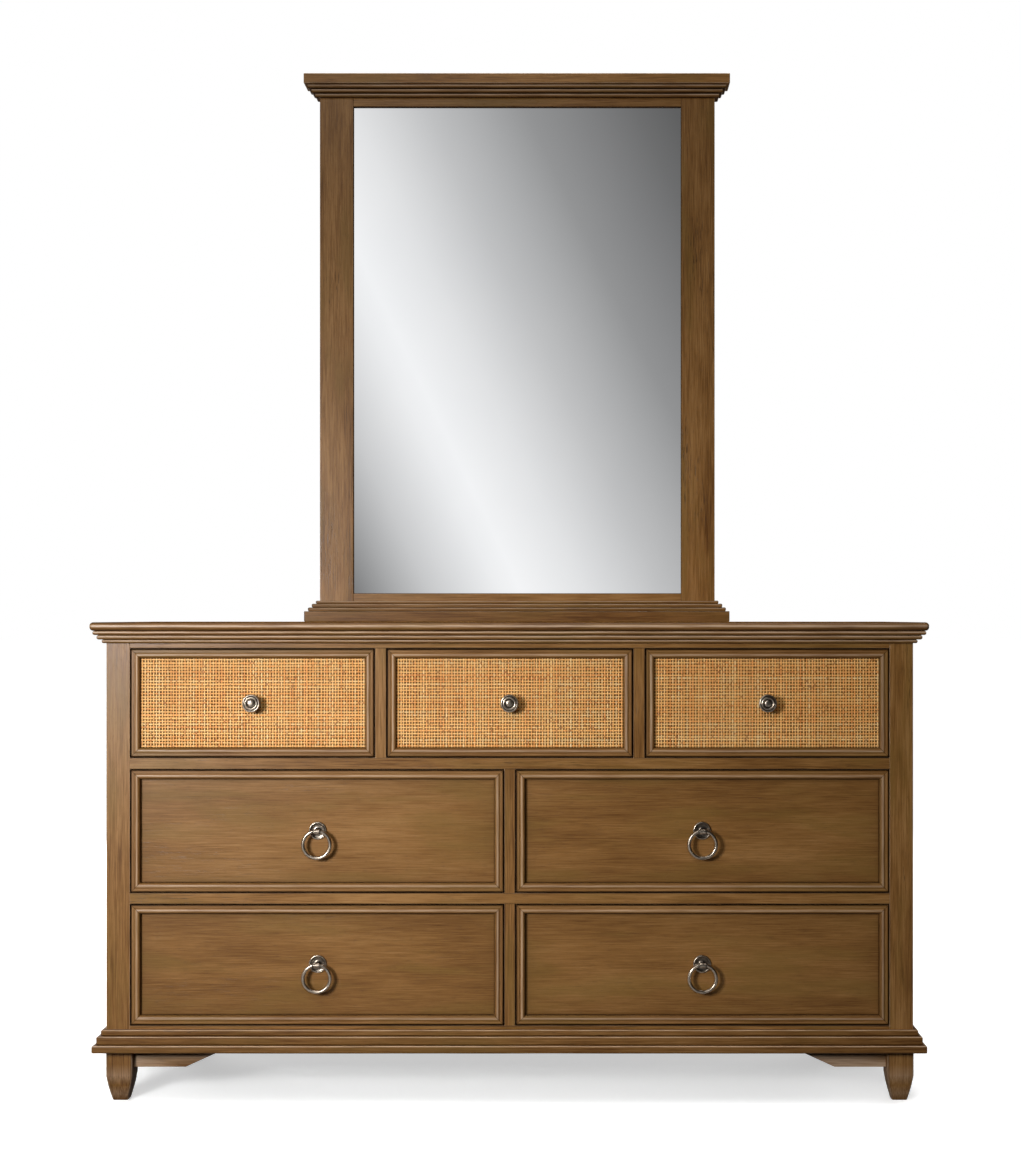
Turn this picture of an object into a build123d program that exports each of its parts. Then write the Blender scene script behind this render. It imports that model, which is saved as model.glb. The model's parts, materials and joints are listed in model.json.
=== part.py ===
"""Seven-drawer dresser with a framed mirror standing on its top.

Millimetres. +Z is up, the drawers open towards -Y, and the origin is on the floor under the
middle of the whole piece. Glued pieces of one node stand a hairline apart, so each one stays
a solid of its own.
"""
import os
from math import asin, cos, degrees, sqrt

from build123d import *

os.makedirs("parts", exist_ok=True)

GLUE_LINE = 0.1
SAW_CUT = 150.0

# --- Overall sizes ---------------------------------------------------------------------------
DEPTH = 482.0
CASE_HALF = 761.5
TOP_HALF = 787.5
TOP_OVERHANG = 28.0
SUPPORT_THICK = 18.0

FRONT = -DEPTH / 2 + TOP_OVERHANG
BACK = DEPTH / 2 - SUPPORT_THICK
CASE_BOTTOM = 96.0
TOP_UNDERSIDE = 889.0
TOP_SURFACE = 905.0
BULLNOSE = 7.5
EDGE_EASE = 0.8

# --- Case ------------------------------------------------------------------------------------
FACE_THICK = 22.0
STILE_INNER = 717.0
SIDE_THICK = 18.0
SIDE_INNER = CASE_HALF - SIDE_THICK
BACK_PANEL_THICK = 6.0
BOTTOM_PANEL_THICK = 12.0
REAR_RAIL_THICK = 18.0
PARTITION_THICK = 16.0
UPPER_DIVIDER_X = 243.95
DIVIDER_WIDTH = 21.8
LOWER_DIVIDER_WIDTH = 20.8

FACE_BACK = FRONT + FACE_THICK
PANEL_FRONT = BACK - BACK_PANEL_THICK
REAR_RAIL_FRONT = PANEL_FRONT - REAR_RAIL_THICK

# --- Drawers ---------------------------------------------------------------------------------
GAP = 2.2
UPPER_ROW = (651.4, 853.5)
MIDDLE_ROW = (396.1, 625.1)
LOWER_ROW = (145.8, 370.8)
FRAME_WIDTH = 16.5
FRAME_THICK = 20.0
RABBET = 5.0
PANEL_DEPTH = 9.0
PANEL_THICK = 8.0
CANE_THICK = 2.5
BOX_LENGTH = 375.0
BOX_WALL = 12.0
BOX_SIDE_GAP = 6.0
BOX_TOP_GAP = 20.0
BOX_LIFT = 1.0
BOX_FLOOR_LIFT = 12.0
BOX_FLOOR_THICK = 5.0
RUNNER_HALF = 12.0
RUNNER_TOP = 6.0
BEARER_TOP = 0.4
BEARER_DEEP = 18.0
GUIDE_CLEARANCE = 1.0

# --- Hardware --------------------------------------------------------------------------------
SCREW_RADIUS = 1.95
SCREW_HOLE = 2.5
SCREW_HEAD = (4.0, 2.4)
KNOB_FLANGE = 15.0
KNOB_NECK = 6.6
KNOB_HEAD = 17.0
KNOB_HEIGHT = 25.0
ROSETTE_RADIUS = 17.0
ROSETTE_RIM = 3.2
PIN_REACH = 16.0
PIN_RADIUS = 2.05
PIN_BORE = 2.1
BARREL_RADIUS = 4.5
BARREL_HALF = 5.5
RING_RADIUS = 25.6
RING_WIRE = 3.4
RING_PIN_HALF = 7.2
RING_PIN_LAP = 0.6

# --- Feet and aprons -------------------------------------------------------------------------
FOOT_WIDTH = 50.0
FOOT_DEEP = 44.0
FOOT_TAPER_Z = 48.0
FOOT_ANKLE_Z = 12.0
FOOT_ANKLE_IN = 7.5
FOOT_SOLE_IN = 10.5
FOOT_CHAMFER = 3.0
FOOT_X = 738.0
APRON_THICK = 18.0
APRON_SET_BACK = 15.0
APRON_BOTTOM = 61.5
APRON_TOE = 615.0
APRON_HEEL = 540.0

# --- Mirror ----------------------------------------------------------------------------------
MIRROR_THICK = 26.0
MIRROR_FRONT = BACK - MIRROR_THICK
MIRROR_HALF = 421.5
GLASS_HALF = 349.5
GLASS_LOW = 965.5
GLASS_HIGH = 2004.2
GLASS_RABBET = 8.0
GLASS_LIP = 6.0
GLASS_THICK = 4.0
BACKBOARD_THICK = 5.0
CROWN_LOW = 2022.5
CROWN_BOARD = 2045.5
MIRROR_TOP = 2066.5
CROWN_REACH = 30.0
SUPPORT_X = 386.0
SUPPORT_WIDTH = 68.0
SUPPORT_LOW = 560.0
SUPPORT_HIGH = 1560.0
SUPPORT_CHAMFER = 2.0

# Moulding steps: (lowest height, highest height, how far it stands out, edge radius)
TOP_CROWN_STEPS = (
    (881.0, TOP_UNDERSIDE, 20.5, 3.0),
    (872.5, 881.0, 14.5, 3.0),
    (865.5, 872.5, 7.0, 2.8),
)
BASE_STEPS = (
    (CASE_BOTTOM, 110.5, 22.0, 4.5),
    (110.5, 126.0, 15.0, 3.5),
    (126.0, 137.2, 8.0, 3.5),
)
MIRROR_CROWN_STEPS = (
    (2038.0, CROWN_BOARD, 23.0, 2.8),
    (2030.3, 2038.0, 16.0, 2.8),
    (CROWN_LOW, 2030.3, 9.0, 2.8),
)
MIRROR_BASE_STEPS = (
    (TOP_SURFACE, 926.5, 28.5, 1.2),
    (926.5, 934.5, 21.5, 2.8),
    (934.5, 942.5, 14.5, 2.8),
    (942.5, 949.0, 7.0, 2.6),
)


def keep(piece, name):
    """Label one finished piece and write its STEP file."""
    piece.part.label = name
    export_step(piece.part, f"parts/{name}.step")


def block(low, high, mode=Mode.ADD):
    """Add a rectangular block between two opposite corners."""
    centre = tuple((a + b) / 2 for a, b in zip(low, high))
    size = [b - a for a, b in zip(low, high)]
    with Locations(centre):
        Box(*size, mode=mode)


def stepped_section(steps):
    """Section of a moulding: local x is height, local y is how far it stands out."""
    low = min(step[0] for step in steps)
    high = max(step[1] for step in steps)
    reach = max(step[2] for step in steps)
    for bottom, top, out, radius in steps:
        with Locations(((bottom + top) / 2, 0)):
            RectangleRounded(top - bottom, 2 * out, radius)
    with Locations(((low + high) / 2, -reach)):
        Rectangle(2 * (high - low), 2 * reach, mode=Mode.SUBTRACT)


def wrapped_moulding(steps, half_width, front, back):
    """Front and two returns of a moulding, mitred at the front corners."""
    with BuildPart() as moulding:
        with BuildLine() as path:
            Polyline(
                (-half_width, back, 0),
                (-half_width, front, 0),
                (half_width, front, 0),
                (half_width, back, 0),
            )
        start = Plane(origin=(-half_width, back, 0), x_dir=(0, 0, 1), z_dir=(0, -1, 0))
        with BuildSketch(start):
            stepped_section(steps)
        sweep(path=path.wire(), transition=Transition.RIGHT)
        middle = steps[0][0]
        for side in (-1, 1):
            with Locations(Location((side * half_width, front, middle), (0, 0, -45 * side))):
                Box(SAW_CUT, GLUE_LINE, SAW_CUT, mode=Mode.SUBTRACT)
    return moulding


# --- Case ------------------------------------------------------------------------------------
def make_top_board():
    with BuildPart() as top_board:
        block((-TOP_HALF, -DEPTH / 2, TOP_UNDERSIDE), (TOP_HALF, BACK, TOP_SURFACE))
        rims = top_board.edges().filter_by(Plane.XY)
        rear = rims.group_by(Axis.Y)[-1]
        fillet([edge for edge in rims if edge not in rear], radius=BULLNOSE)
    keep(top_board, "top_board")


def make_case_sides():
    for side, name in ((-1, "left"), (1, "right")):
        inner, outer = sorted((side * SIDE_INNER, side * CASE_HALF))
        with BuildPart() as side_panel:
            block((inner, FACE_BACK, CASE_BOTTOM), (outer, BACK, TOP_UNDERSIDE))
        keep(side_panel, f"side_panel_{name}")

        inner, outer = sorted((side * STILE_INNER, side * CASE_HALF))
        with BuildPart() as stile:
            block((inner, FRONT, CASE_BOTTOM), (outer, FACE_BACK, TOP_UNDERSIDE))
            chamfer(stile.edges().filter_by(Axis.Z).group_by(Axis.Y)[0], length=EDGE_EASE)
        keep(stile, f"stile_{name}")


def make_face_rails():
    heights = {
        "top_rail": (UPPER_ROW[1] + GAP, TOP_UNDERSIDE),
        "upper_rail": (MIDDLE_ROW[1] + GAP, UPPER_ROW[0] - GAP),
        "lower_rail": (LOWER_ROW[1] + GAP, MIDDLE_ROW[0] - GAP),
        "bottom_rail": (CASE_BOTTOM, LOWER_ROW[0] - GAP),
    }
    for name, (low, high) in heights.items():
        with BuildPart() as rail:
            block((-STILE_INNER, FRONT, low), (STILE_INNER, FACE_BACK, high))
            chamfer(rail.edges().filter_by(Axis.X).group_by(Axis.Y)[0], length=EDGE_EASE)
        keep(rail, name)


def make_face_dividers():
    upper = (UPPER_ROW[0] - GAP, UPPER_ROW[1] + GAP)
    middle = (MIDDLE_ROW[0] - GAP, MIDDLE_ROW[1] + GAP)
    lower = (LOWER_ROW[0] - GAP, LOWER_ROW[1] + GAP)
    spots = (
        (-UPPER_DIVIDER_X, DIVIDER_WIDTH, upper),
        (UPPER_DIVIDER_X, DIVIDER_WIDTH, upper),
        (0, LOWER_DIVIDER_WIDTH, middle),
        (0, LOWER_DIVIDER_WIDTH, lower),
    )
    with BuildPart() as face_dividers:
        for x, width, (low, high) in spots:
            block((x - width / 2, FRONT, low), (x + width / 2, FACE_BACK, high))
        chamfer(face_dividers.edges().filter_by(Axis.Z).group_by(Axis.Y)[0], length=EDGE_EASE)
    keep(face_dividers, "face_dividers")


def make_case_inside():
    """Partitions, bearers and runners that carry the drawers, and the rails behind them."""
    half = PARTITION_THICK / 2
    with BuildPart() as partitions:
        for x in (-UPPER_DIVIDER_X, UPPER_DIVIDER_X):
            block(
                (x - half, FACE_BACK, UPPER_ROW[0] + BEARER_TOP),
                (x + half, REAR_RAIL_FRONT, TOP_UNDERSIDE),
            )
        block(
            (-half, FACE_BACK, MIDDLE_ROW[0] + BEARER_TOP),
            (half, REAR_RAIL_FRONT, UPPER_ROW[0] - BEARER_DEEP),
        )
        block(
            (-half, FACE_BACK, LOWER_ROW[0] + BEARER_TOP),
            (half, REAR_RAIL_FRONT, MIDDLE_ROW[0] - BEARER_DEEP),
        )
    keep(partitions, "partitions")

    side_bearer = 53.0
    centre_bearer = 44.0
    with BuildPart() as side_bearers:
        for row, middles in (
            (UPPER_ROW, (-UPPER_DIVIDER_X, UPPER_DIVIDER_X)),
            (MIDDLE_ROW, (0,)),
            (LOWER_ROW, (0,)),
        ):
            spans = [(-SIDE_INNER, -SIDE_INNER + side_bearer), (SIDE_INNER - side_bearer, SIDE_INNER)]
            spans += [(x - centre_bearer, x + centre_bearer) for x in middles]
            for left, right in spans:
                block(
                    (left, FACE_BACK, row[0] - BEARER_DEEP),
                    (right, REAR_RAIL_FRONT, row[0] + BEARER_TOP),
                )
    keep(side_bearers, "side_bearers")

    with BuildPart() as centre_runners:
        for drawer in DRAWERS:
            x, z = drawer["x"], drawer["row"][0]
            block(
                (x - RUNNER_HALF, FACE_BACK, z - BEARER_DEEP),
                (x + RUNNER_HALF, REAR_RAIL_FRONT, z + RUNNER_TOP),
            )
            chamfer(
                centre_runners.edges(Select.LAST).filter_by(Axis.Y).group_by(Axis.Z)[-1],
                length=EDGE_EASE,
            )
    keep(centre_runners, "centre_runners")

    rail_height = 32.0
    with BuildPart() as rear_rails:
        for top in (UPPER_ROW[0], MIDDLE_ROW[0], LOWER_ROW[0], TOP_UNDERSIDE - RUNNER_TOP):
            block(
                (-SIDE_INNER, REAR_RAIL_FRONT, top + RUNNER_TOP - rail_height),
                (SIDE_INNER, PANEL_FRONT, top + RUNNER_TOP),
            )
    keep(rear_rails, "rear_rails")


def make_case_panels():
    with BuildPart() as back_panel:
        block((-SIDE_INNER, PANEL_FRONT, CASE_BOTTOM), (SIDE_INNER, BACK, TOP_UNDERSIDE))
    keep(back_panel, "back_panel")

    with BuildPart() as bottom_panel:
        block(
            (-SIDE_INNER, FACE_BACK, CASE_BOTTOM),
            (SIDE_INNER, PANEL_FRONT, CASE_BOTTOM + BOTTOM_PANEL_THICK),
        )
    keep(bottom_panel, "bottom_panel")


def make_feet():
    rear_y = BACK - FOOT_DEEP / 2
    front_y = FRONT + 1.0 + FOOT_DEEP / 2
    levels = (
        (0, FOOT_SOLE_IN),
        (FOOT_ANKLE_Z, FOOT_ANKLE_IN),
        (FOOT_TAPER_Z, 0),
        (CASE_BOTTOM, 0),
    )
    for name, y in (("front_feet", front_y), ("rear_feet", rear_y)):
        with BuildPart() as feet:
            for x in (-FOOT_X, FOOT_X):
                for height, inset in levels:
                    with BuildSketch(Plane((x, y, height))) as section:
                        Rectangle(FOOT_WIDTH - 2 * inset, FOOT_DEEP - 2 * inset)
                        chamfer(section.vertices(), length=FOOT_CHAMFER)
                loft(ruled=True)
        keep(feet, name)


def make_apron_brackets():
    """Brackets between the feet and the case bottom, with a sloped free end."""
    foot_inner = FOOT_X - FOOT_WIDTH / 2
    length = foot_inner - APRON_HEEL
    toe = foot_inner - APRON_TOE
    side_length = 120.0
    front_y = FRONT + APRON_SET_BACK
    foot_back = FRONT + 1.0 + FOOT_DEEP
    side_x = CASE_HALF - APRON_THICK - APRON_SET_BACK / 2
    starts = []
    for side in (-1, 1):
        start = (side * foot_inner, front_y, APRON_BOTTOM)
        starts.append((start, (-side, 0, 0), (0, 1, 0), length, toe))
        for y, way in ((foot_back, 1), (BACK - FOOT_DEEP, -1)):
            start = (side * side_x, y, APRON_BOTTOM)
            slope = length - toe
            starts.append((start, (0, way, 0), (side, 0, 0), side_length, side_length - slope))
    drop = CASE_BOTTOM - APRON_BOTTOM
    with BuildPart() as apron_brackets:
        for start, along, through, reach, flat in starts:
            plane = Plane(origin=start, x_dir=along, z_dir=through)
            up = 1 if plane.y_dir.Z > 0 else -1
            with BuildSketch(plane):
                with BuildLine():
                    Polyline((0, 0), (flat, 0), (reach, up * drop), (0, up * drop), close=True)
                make_face()
            extrude(amount=APRON_THICK)
    keep(apron_brackets, "apron_brackets")


# --- Drawers ---------------------------------------------------------------------------------
def drawer_list():
    """Every drawer's name, middle, half width and row."""
    upper_half = UPPER_DIVIDER_X - DIVIDER_WIDTH / 2 - GAP
    outer_left = UPPER_DIVIDER_X + DIVIDER_WIDTH / 2 + GAP
    outer_right = STILE_INNER - GAP
    outer_x = (outer_left + outer_right) / 2
    outer_half = (outer_right - outer_left) / 2
    wide_left = LOWER_DIVIDER_WIDTH / 2 + GAP
    wide_x = (wide_left + outer_right) / 2
    wide_half = (outer_right - wide_left) / 2
    drawers = [
        {"name": "upper_left", "x": -outer_x, "half": outer_half, "row": UPPER_ROW},
        {"name": "upper_middle", "x": 0.0, "half": upper_half, "row": UPPER_ROW},
        {"name": "upper_right", "x": outer_x, "half": outer_half, "row": UPPER_ROW},
    ]
    for row_name, row in (("middle", MIDDLE_ROW), ("lower", LOWER_ROW)):
        for side, x in (("left", -wide_x), ("right", wide_x)):
            drawers.append({"name": f"{row_name}_{side}", "x": x, "half": wide_half, "row": row})
    return drawers


DRAWERS = drawer_list()


def fixing_hole(x, z, y_front, y_back):
    """Clearance hole, front to back, for the screw of a knob or pull."""
    middle = (y_front + y_back) / 2
    with Locations(Location((x, middle, z), (90, 0, 0))):
        Cylinder(SCREW_HOLE, y_back - y_front, mode=Mode.SUBTRACT)


def bead_section():
    """Section of the front's frame: local x runs inwards, local y runs backwards."""
    ledge, quirk, crest = 5.6, 1.0, 5.6
    bead_x = FRAME_WIDTH - crest
    drop = crest - 0.8
    bead_side = bead_x - sqrt(crest**2 - (drop - quirk) ** 2)
    with BuildLine() as outline:
        Polyline((bead_side, quirk), (ledge - 0.4, quirk), (ledge - 0.8, 0), (0.9, 0), (0, 0.9),
                 (0, FRAME_THICK), (FRAME_WIDTH - RABBET, FRAME_THICK),
                 (FRAME_WIDTH - RABBET, PANEL_DEPTH), (FRAME_WIDTH, PANEL_DEPTH),
                 (FRAME_WIDTH, drop))
        ThreePointArc((FRAME_WIDTH, drop), (bead_x, drop - crest), (bead_side, quirk))
    make_face(outline.line)


def make_drawer_front(drawer):
    """Mitred bead frame, its panel held in the rabbet, all fixed to the box behind."""
    x, half, (low, high) = drawer["x"], drawer["half"], drawer["row"]
    middle_z = (low + high) / 2
    with BuildPart() as front:
        with BuildLine() as path:
            Polyline((x, FRONT, low), (x + half, FRONT, low), (x + half, FRONT, high),
                     (x - half, FRONT, high), (x - half, FRONT, low), close=True)
        with BuildSketch(Plane(origin=(x, FRONT, low), x_dir=(0, 0, 1), z_dir=(-1, 0, 0))):
            bead_section()
        sweep(path=path.wire(), transition=Transition.RIGHT)
        for side in (-1, 1):
            for level in (low, high):
                tilt = 45 * side * (1 if level == high else -1)
                with Locations(Location((x + side * half, FRONT, level), (0, -tilt, 0))):
                    Box(SAW_CUT, SAW_CUT, GLUE_LINE, mode=Mode.SUBTRACT)
        inset = FRAME_WIDTH - RABBET + GLUE_LINE
        panel_y = FRONT + PANEL_DEPTH
        block(
            (x - half + inset, panel_y + GLUE_LINE, low + inset),
            (x + half - inset, panel_y + PANEL_THICK, high - inset),
        )
        fixing_hole(x, middle_z, panel_y, panel_y + PANEL_THICK + 1)
    keep(front, f"drawer_{drawer['name']}_front")


def make_drawer_box(drawer):
    """Box of sides, inner front, back and floor, with the guide strips under the floor."""
    x, half, (low, high) = drawer["x"], drawer["half"], drawer["row"]
    front_y = FRONT + FRAME_THICK + GLUE_LINE
    back_y = front_y + BOX_LENGTH
    bottom = low + BOX_LIFT
    top = high - BOX_TOP_GAP
    outer = half - BOX_SIDE_GAP
    inner = outer - BOX_WALL
    floor_low = low + BOX_FLOOR_LIFT
    floor_high = floor_low + BOX_FLOOR_THICK
    fit = inner - GLUE_LINE
    with BuildPart() as box:
        for side in (-1, 1):
            left, right = sorted((x + side * inner, x + side * outer))
            block((left, front_y, bottom), (right, back_y, top))
            guide_in = RUNNER_HALF + GUIDE_CLEARANCE
            left, right = sorted((x + side * guide_in, x + side * (guide_in + BOX_WALL)))
            block((left, front_y + BOX_WALL, bottom), (right, back_y, floor_low - GLUE_LINE))
        block((x - fit, front_y, floor_low), (x + fit, back_y, floor_high))
        above_floor = floor_high + GLUE_LINE
        block((x - fit, front_y, above_floor), (x + fit, front_y + BOX_WALL, top))
        block((x - fit, back_y - BOX_WALL, above_floor), (x + fit, back_y, top - BOX_WALL))
        fixing_hole(x, (low + high) / 2, front_y, front_y + BOX_WALL)
    keep(box, f"drawer_{drawer['name']}_box")


def make_cane(drawer):
    """Woven cane sheet laid on the panel of an upper drawer."""
    x, half, (low, high) = drawer["x"], drawer["half"], drawer["row"]
    inset = FRAME_WIDTH + GLUE_LINE
    cane_y = FRONT + PANEL_DEPTH - CANE_THICK
    with BuildPart() as cane:
        block(
            (x - half + inset, cane_y, low + inset),
            (x + half - inset, FRONT + PANEL_DEPTH, high - inset),
        )
        fixing_hole(x, (low + high) / 2, cane_y, FRONT + PANEL_DEPTH)
    keep(cane, f"cane_{drawer['name']}")


# --- Hardware --------------------------------------------------------------------------------
def turned(x, y, z):
    """Plane for a turned piece on a front: local x is radius, local y points out of the front."""
    return Plane(origin=(x, y, z), x_dir=(1, 0, 0), z_dir=(0, 0, -1))


def machine_screw(x, z, tip_y):
    """Pan-head screw from inside the box, through the box and the panel."""
    head_radius, head_thick = SCREW_HEAD
    seat_y = FRONT + FRAME_THICK + 2 * GLUE_LINE + BOX_WALL
    with Locations(Location((x, (tip_y + seat_y) / 2, z), (90, 0, 0))):
        Cylinder(SCREW_RADIUS, seat_y - tip_y)
    with Locations(Location((x, seat_y + head_thick / 2, z), (90, 0, 0))):
        Cylinder(head_radius, head_thick)


def make_knob(drawer):
    """Turned knob with a flange, a waisted neck and a ringed head, and its screw."""
    x, z = drawer["x"], sum(drawer["row"]) / 2
    seat = FRONT + PANEL_DEPTH - CANE_THICK
    bore, bore_depth = 2.0, 12.0
    flange_edge = (KNOB_FLANGE, 1.6)
    flange_top = (KNOB_FLANGE - 2.0, 3.2)
    neck_foot = (KNOB_FLANGE - 4.5, 3.4)
    neck_top = (8.5, 14.6)
    rim = (KNOB_HEAD, 19.4)
    rim_top = (KNOB_HEAD - 2.9, 21.8)
    ring_outer = (KNOB_HEAD - 3.7, 21.0)
    ring_inner = (8.2, 21.6)
    button = 6.9
    with BuildPart() as knob:
        with BuildSketch(turned(x, seat, z)):
            with BuildLine():
                Polyline((bore, 0), (KNOB_FLANGE, 0), flange_edge)
                ThreePointArc(flange_edge, (KNOB_FLANGE - 0.6, 2.8), flange_top)
                Line(flange_top, neck_foot)
                Spline(neck_foot, (KNOB_NECK, 9.0), neck_top, tangents=((-1, 0.6), (1, 0.9)))
                Spline(neck_top, (KNOB_HEAD - 1.7, 17.4), rim, tangents=((1, 0.5), (0, 1)))
                ThreePointArc(rim, (KNOB_HEAD - 0.8, 21.2), rim_top)
                Line(rim_top, ring_outer)
                ThreePointArc(ring_outer, (10.7, 23.4), ring_inner)
                Line(ring_inner, (button, 21.2))
                Polyline((button, 21.2), (button - 0.4, 23.6), (button - 1.4, 24.6),
                         (button / 2, KNOB_HEIGHT), (0, KNOB_HEIGHT),
                         (0, bore_depth), (bore, bore_depth), (bore, 0))
            make_face()
        revolve(axis=Axis((x, seat, z), (0, 1, 0)))
        machine_screw(x, z, seat - bore_depth + 2.0)
    keep(knob, f"knob_{drawer['name']}")


def make_pull_plate(drawer):
    """Dished rosette, the post with the barrel that holds the ring, and its screw."""
    x, z = drawer["x"], sum(drawer["row"]) / 2
    seat = FRONT + PANEL_DEPTH
    pin_y = seat - PIN_REACH
    post_radius = 3.6
    tapped_depth = 8.0
    hole = post_radius + GLUE_LINE
    hub = (hole, 2.6)
    edge = (ROSETTE_RADIUS, 1.2)
    rim = (ROSETTE_RADIUS - 2.0, ROSETTE_RIM)
    dish = (ROSETTE_RADIUS - ROSETTE_RIM, 2.3)
    with BuildPart() as plate:
        with BuildSketch(turned(x, seat, z)):
            with BuildLine():
                Polyline(hub, (hole, 0), (ROSETTE_RADIUS, 0), edge)
                ThreePointArc(edge, (ROSETTE_RADIUS - 0.59, 2.61), rim)
                Line(rim, dish)
                Spline(dish, (ROSETTE_RADIUS - 8.0, 1.5), hub, tangents=((-1, -0.4), (-1, 0.5)))
            make_face()
        revolve(axis=Axis((x, seat, z), (0, 1, 0)))
        with Locations(Location((x, (pin_y + seat) / 2, z), (90, 0, 0))):
            Cylinder(post_radius, seat - pin_y)
        with Locations(Location((x, pin_y, z), (0, 90, 0))):
            Cylinder(BARREL_RADIUS, 2 * BARREL_HALF)
        with Locations(Location((x, seat - tapped_depth / 2, z), (90, 0, 0))):
            Cylinder(SCREW_RADIUS + 0.05, tapped_depth, mode=Mode.SUBTRACT)
        with Locations(Location((x, pin_y, z), (0, 90, 0))):
            Cylinder(PIN_BORE, 4 * BARREL_HALF, mode=Mode.SUBTRACT)
        machine_screw(x, z, seat - tapped_depth + 1.0)
    keep(plate, f"pull_plate_{drawer['name']}")


def make_pull_ring(drawer):
    """Open ring of round wire, closed across the top by the pin that turns in the barrel."""
    x, z = drawer["x"], sum(drawer["row"]) / 2
    pin_y = FRONT + PANEL_DEPTH - PIN_REACH
    gap_angle = degrees(asin(RING_PIN_HALF / RING_RADIUS))
    centre_z = z - RING_RADIUS * cos(asin(RING_PIN_HALF / RING_RADIUS))
    axis = Axis((x, pin_y, centre_z), (0, 1, 0))
    end = Plane(origin=(x, pin_y, centre_z), x_dir=(0, 0, 1), z_dir=(1, 0, 0))
    with BuildPart() as ring:
        with BuildSketch(end.rotated((0, gap_angle, 0))):
            with Locations((RING_RADIUS, 0)):
                Circle(RING_WIRE)
        revolve(axis=axis, revolution_arc=360 - 2 * gap_angle)
        with Locations(Location((x, pin_y, z), (0, 90, 0))):
            Cylinder(PIN_RADIUS, 2 * (RING_PIN_HALF + RING_PIN_LAP))
    keep(ring, f"pull_ring_{drawer['name']}")


# --- Mirror ----------------------------------------------------------------------------------
def make_mirror_frame():
    lip = MIRROR_FRONT + GLASS_LIP
    rabbet = GLASS_HALF + GLASS_RABBET
    for side, name in ((-1, "left"), (1, "right")):
        left, right = sorted((side * GLASS_HALF, side * MIRROR_HALF))
        with BuildPart() as stile:
            block((left, MIRROR_FRONT, TOP_SURFACE), (right, BACK, CROWN_BOARD))
            left, right = sorted((side * GLASS_HALF, side * rabbet))
            block(
                (left, lip, GLASS_LOW - GLASS_RABBET),
                (right, BACK, GLASS_HIGH + GLASS_RABBET),
                mode=Mode.SUBTRACT,
            )
        keep(stile, f"mirror_stile_{name}")

    with BuildPart() as bottom_rail:
        block((-GLASS_HALF, MIRROR_FRONT, TOP_SURFACE), (GLASS_HALF, BACK, GLASS_LOW))
        block(
            (-GLASS_HALF, lip, GLASS_LOW - GLASS_RABBET),
            (GLASS_HALF, BACK, GLASS_LOW),
            mode=Mode.SUBTRACT,
        )
    keep(bottom_rail, "mirror_bottom_rail")

    with BuildPart() as top_rail:
        block((-GLASS_HALF, MIRROR_FRONT, GLASS_HIGH), (GLASS_HALF, BACK, CROWN_BOARD))
        block(
            (-GLASS_HALF, lip, GLASS_HIGH),
            (GLASS_HALF, BACK, GLASS_HIGH + GLASS_RABBET),
            mode=Mode.SUBTRACT,
        )
    keep(top_rail, "mirror_top_rail")


def make_mirror_mouldings():
    mirror_crown = wrapped_moulding(MIRROR_CROWN_STEPS, MIRROR_HALF, MIRROR_FRONT, BACK)
    with mirror_crown:
        half = MIRROR_HALF + CROWN_REACH
        block(
            (-half, MIRROR_FRONT - CROWN_REACH, CROWN_BOARD + GLUE_LINE),
            (half, BACK, MIRROR_TOP),
        )
    keep(mirror_crown, "mirror_crown")
    mirror_base = wrapped_moulding(MIRROR_BASE_STEPS, MIRROR_HALF, MIRROR_FRONT, BACK)
    keep(mirror_base, "mirror_base")


def make_mirror_glass():
    margin = GLASS_RABBET - 0.5
    low = (-GLASS_HALF - margin, MIRROR_FRONT + GLASS_LIP, GLASS_LOW - margin)
    high = (GLASS_HALF + margin, low[1] + GLASS_THICK, GLASS_HIGH + margin)
    with BuildPart() as mirror_glass:
        block(low, high)
    keep(mirror_glass, "mirror_glass")

    with BuildPart() as mirror_backboard:
        block(
            (low[0], high[1] + GLUE_LINE, low[2]),
            (high[0], high[1] + GLUE_LINE + BACKBOARD_THICK, high[2]),
        )
    keep(mirror_backboard, "mirror_backboard")


def make_mirror_supports():
    """Two posts behind the dresser and the mirror, with the wood screws that hold them."""
    shank, shank_hole, head, sink = 2.2, 2.4, 4.6, 2.4
    rear = BACK + SUPPORT_THICK
    rail_mid = RUNNER_TOP - 16.0
    heights = [UPPER_ROW[0] + rail_mid, TOP_UNDERSIDE - 16.0, 1010.0, 1250.0, 1490.0]
    spots = [(side * SUPPORT_X, height) for side in (-1, 1) for height in heights]
    screw_length = 32.0
    with BuildPart() as mirror_supports:
        for side in (-1, 1):
            x = side * SUPPORT_X
            block(
                (x - SUPPORT_WIDTH / 2, BACK, SUPPORT_LOW),
                (x + SUPPORT_WIDTH / 2, rear, SUPPORT_HIGH),
            )
        chamfer(mirror_supports.edges().group_by(Axis.Y)[-1], length=SUPPORT_CHAMFER)
        for x, z in spots:
            with Locations(Plane(origin=(x, rear, z), z_dir=(0, 1, 0))):
                CounterSinkHole(shank_hole, head + 0.1, depth=SUPPORT_THICK)
    keep(mirror_supports, "mirror_supports")

    with BuildPart() as support_screws:
        for x, z in spots:
            with BuildSketch(Plane(origin=(x, rear, z), x_dir=(1, 0, 0), z_dir=(0, 0, -1))):
                with BuildLine():
                    Polyline((0, 0), (head - 0.4, 0), (shank, sink), (shank, screw_length - 4),
                             (0, screw_length), close=True)
                make_face()
            revolve(axis=Axis((x, rear, z), (0, 1, 0)))
    keep(support_screws, "support_screws")


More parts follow.
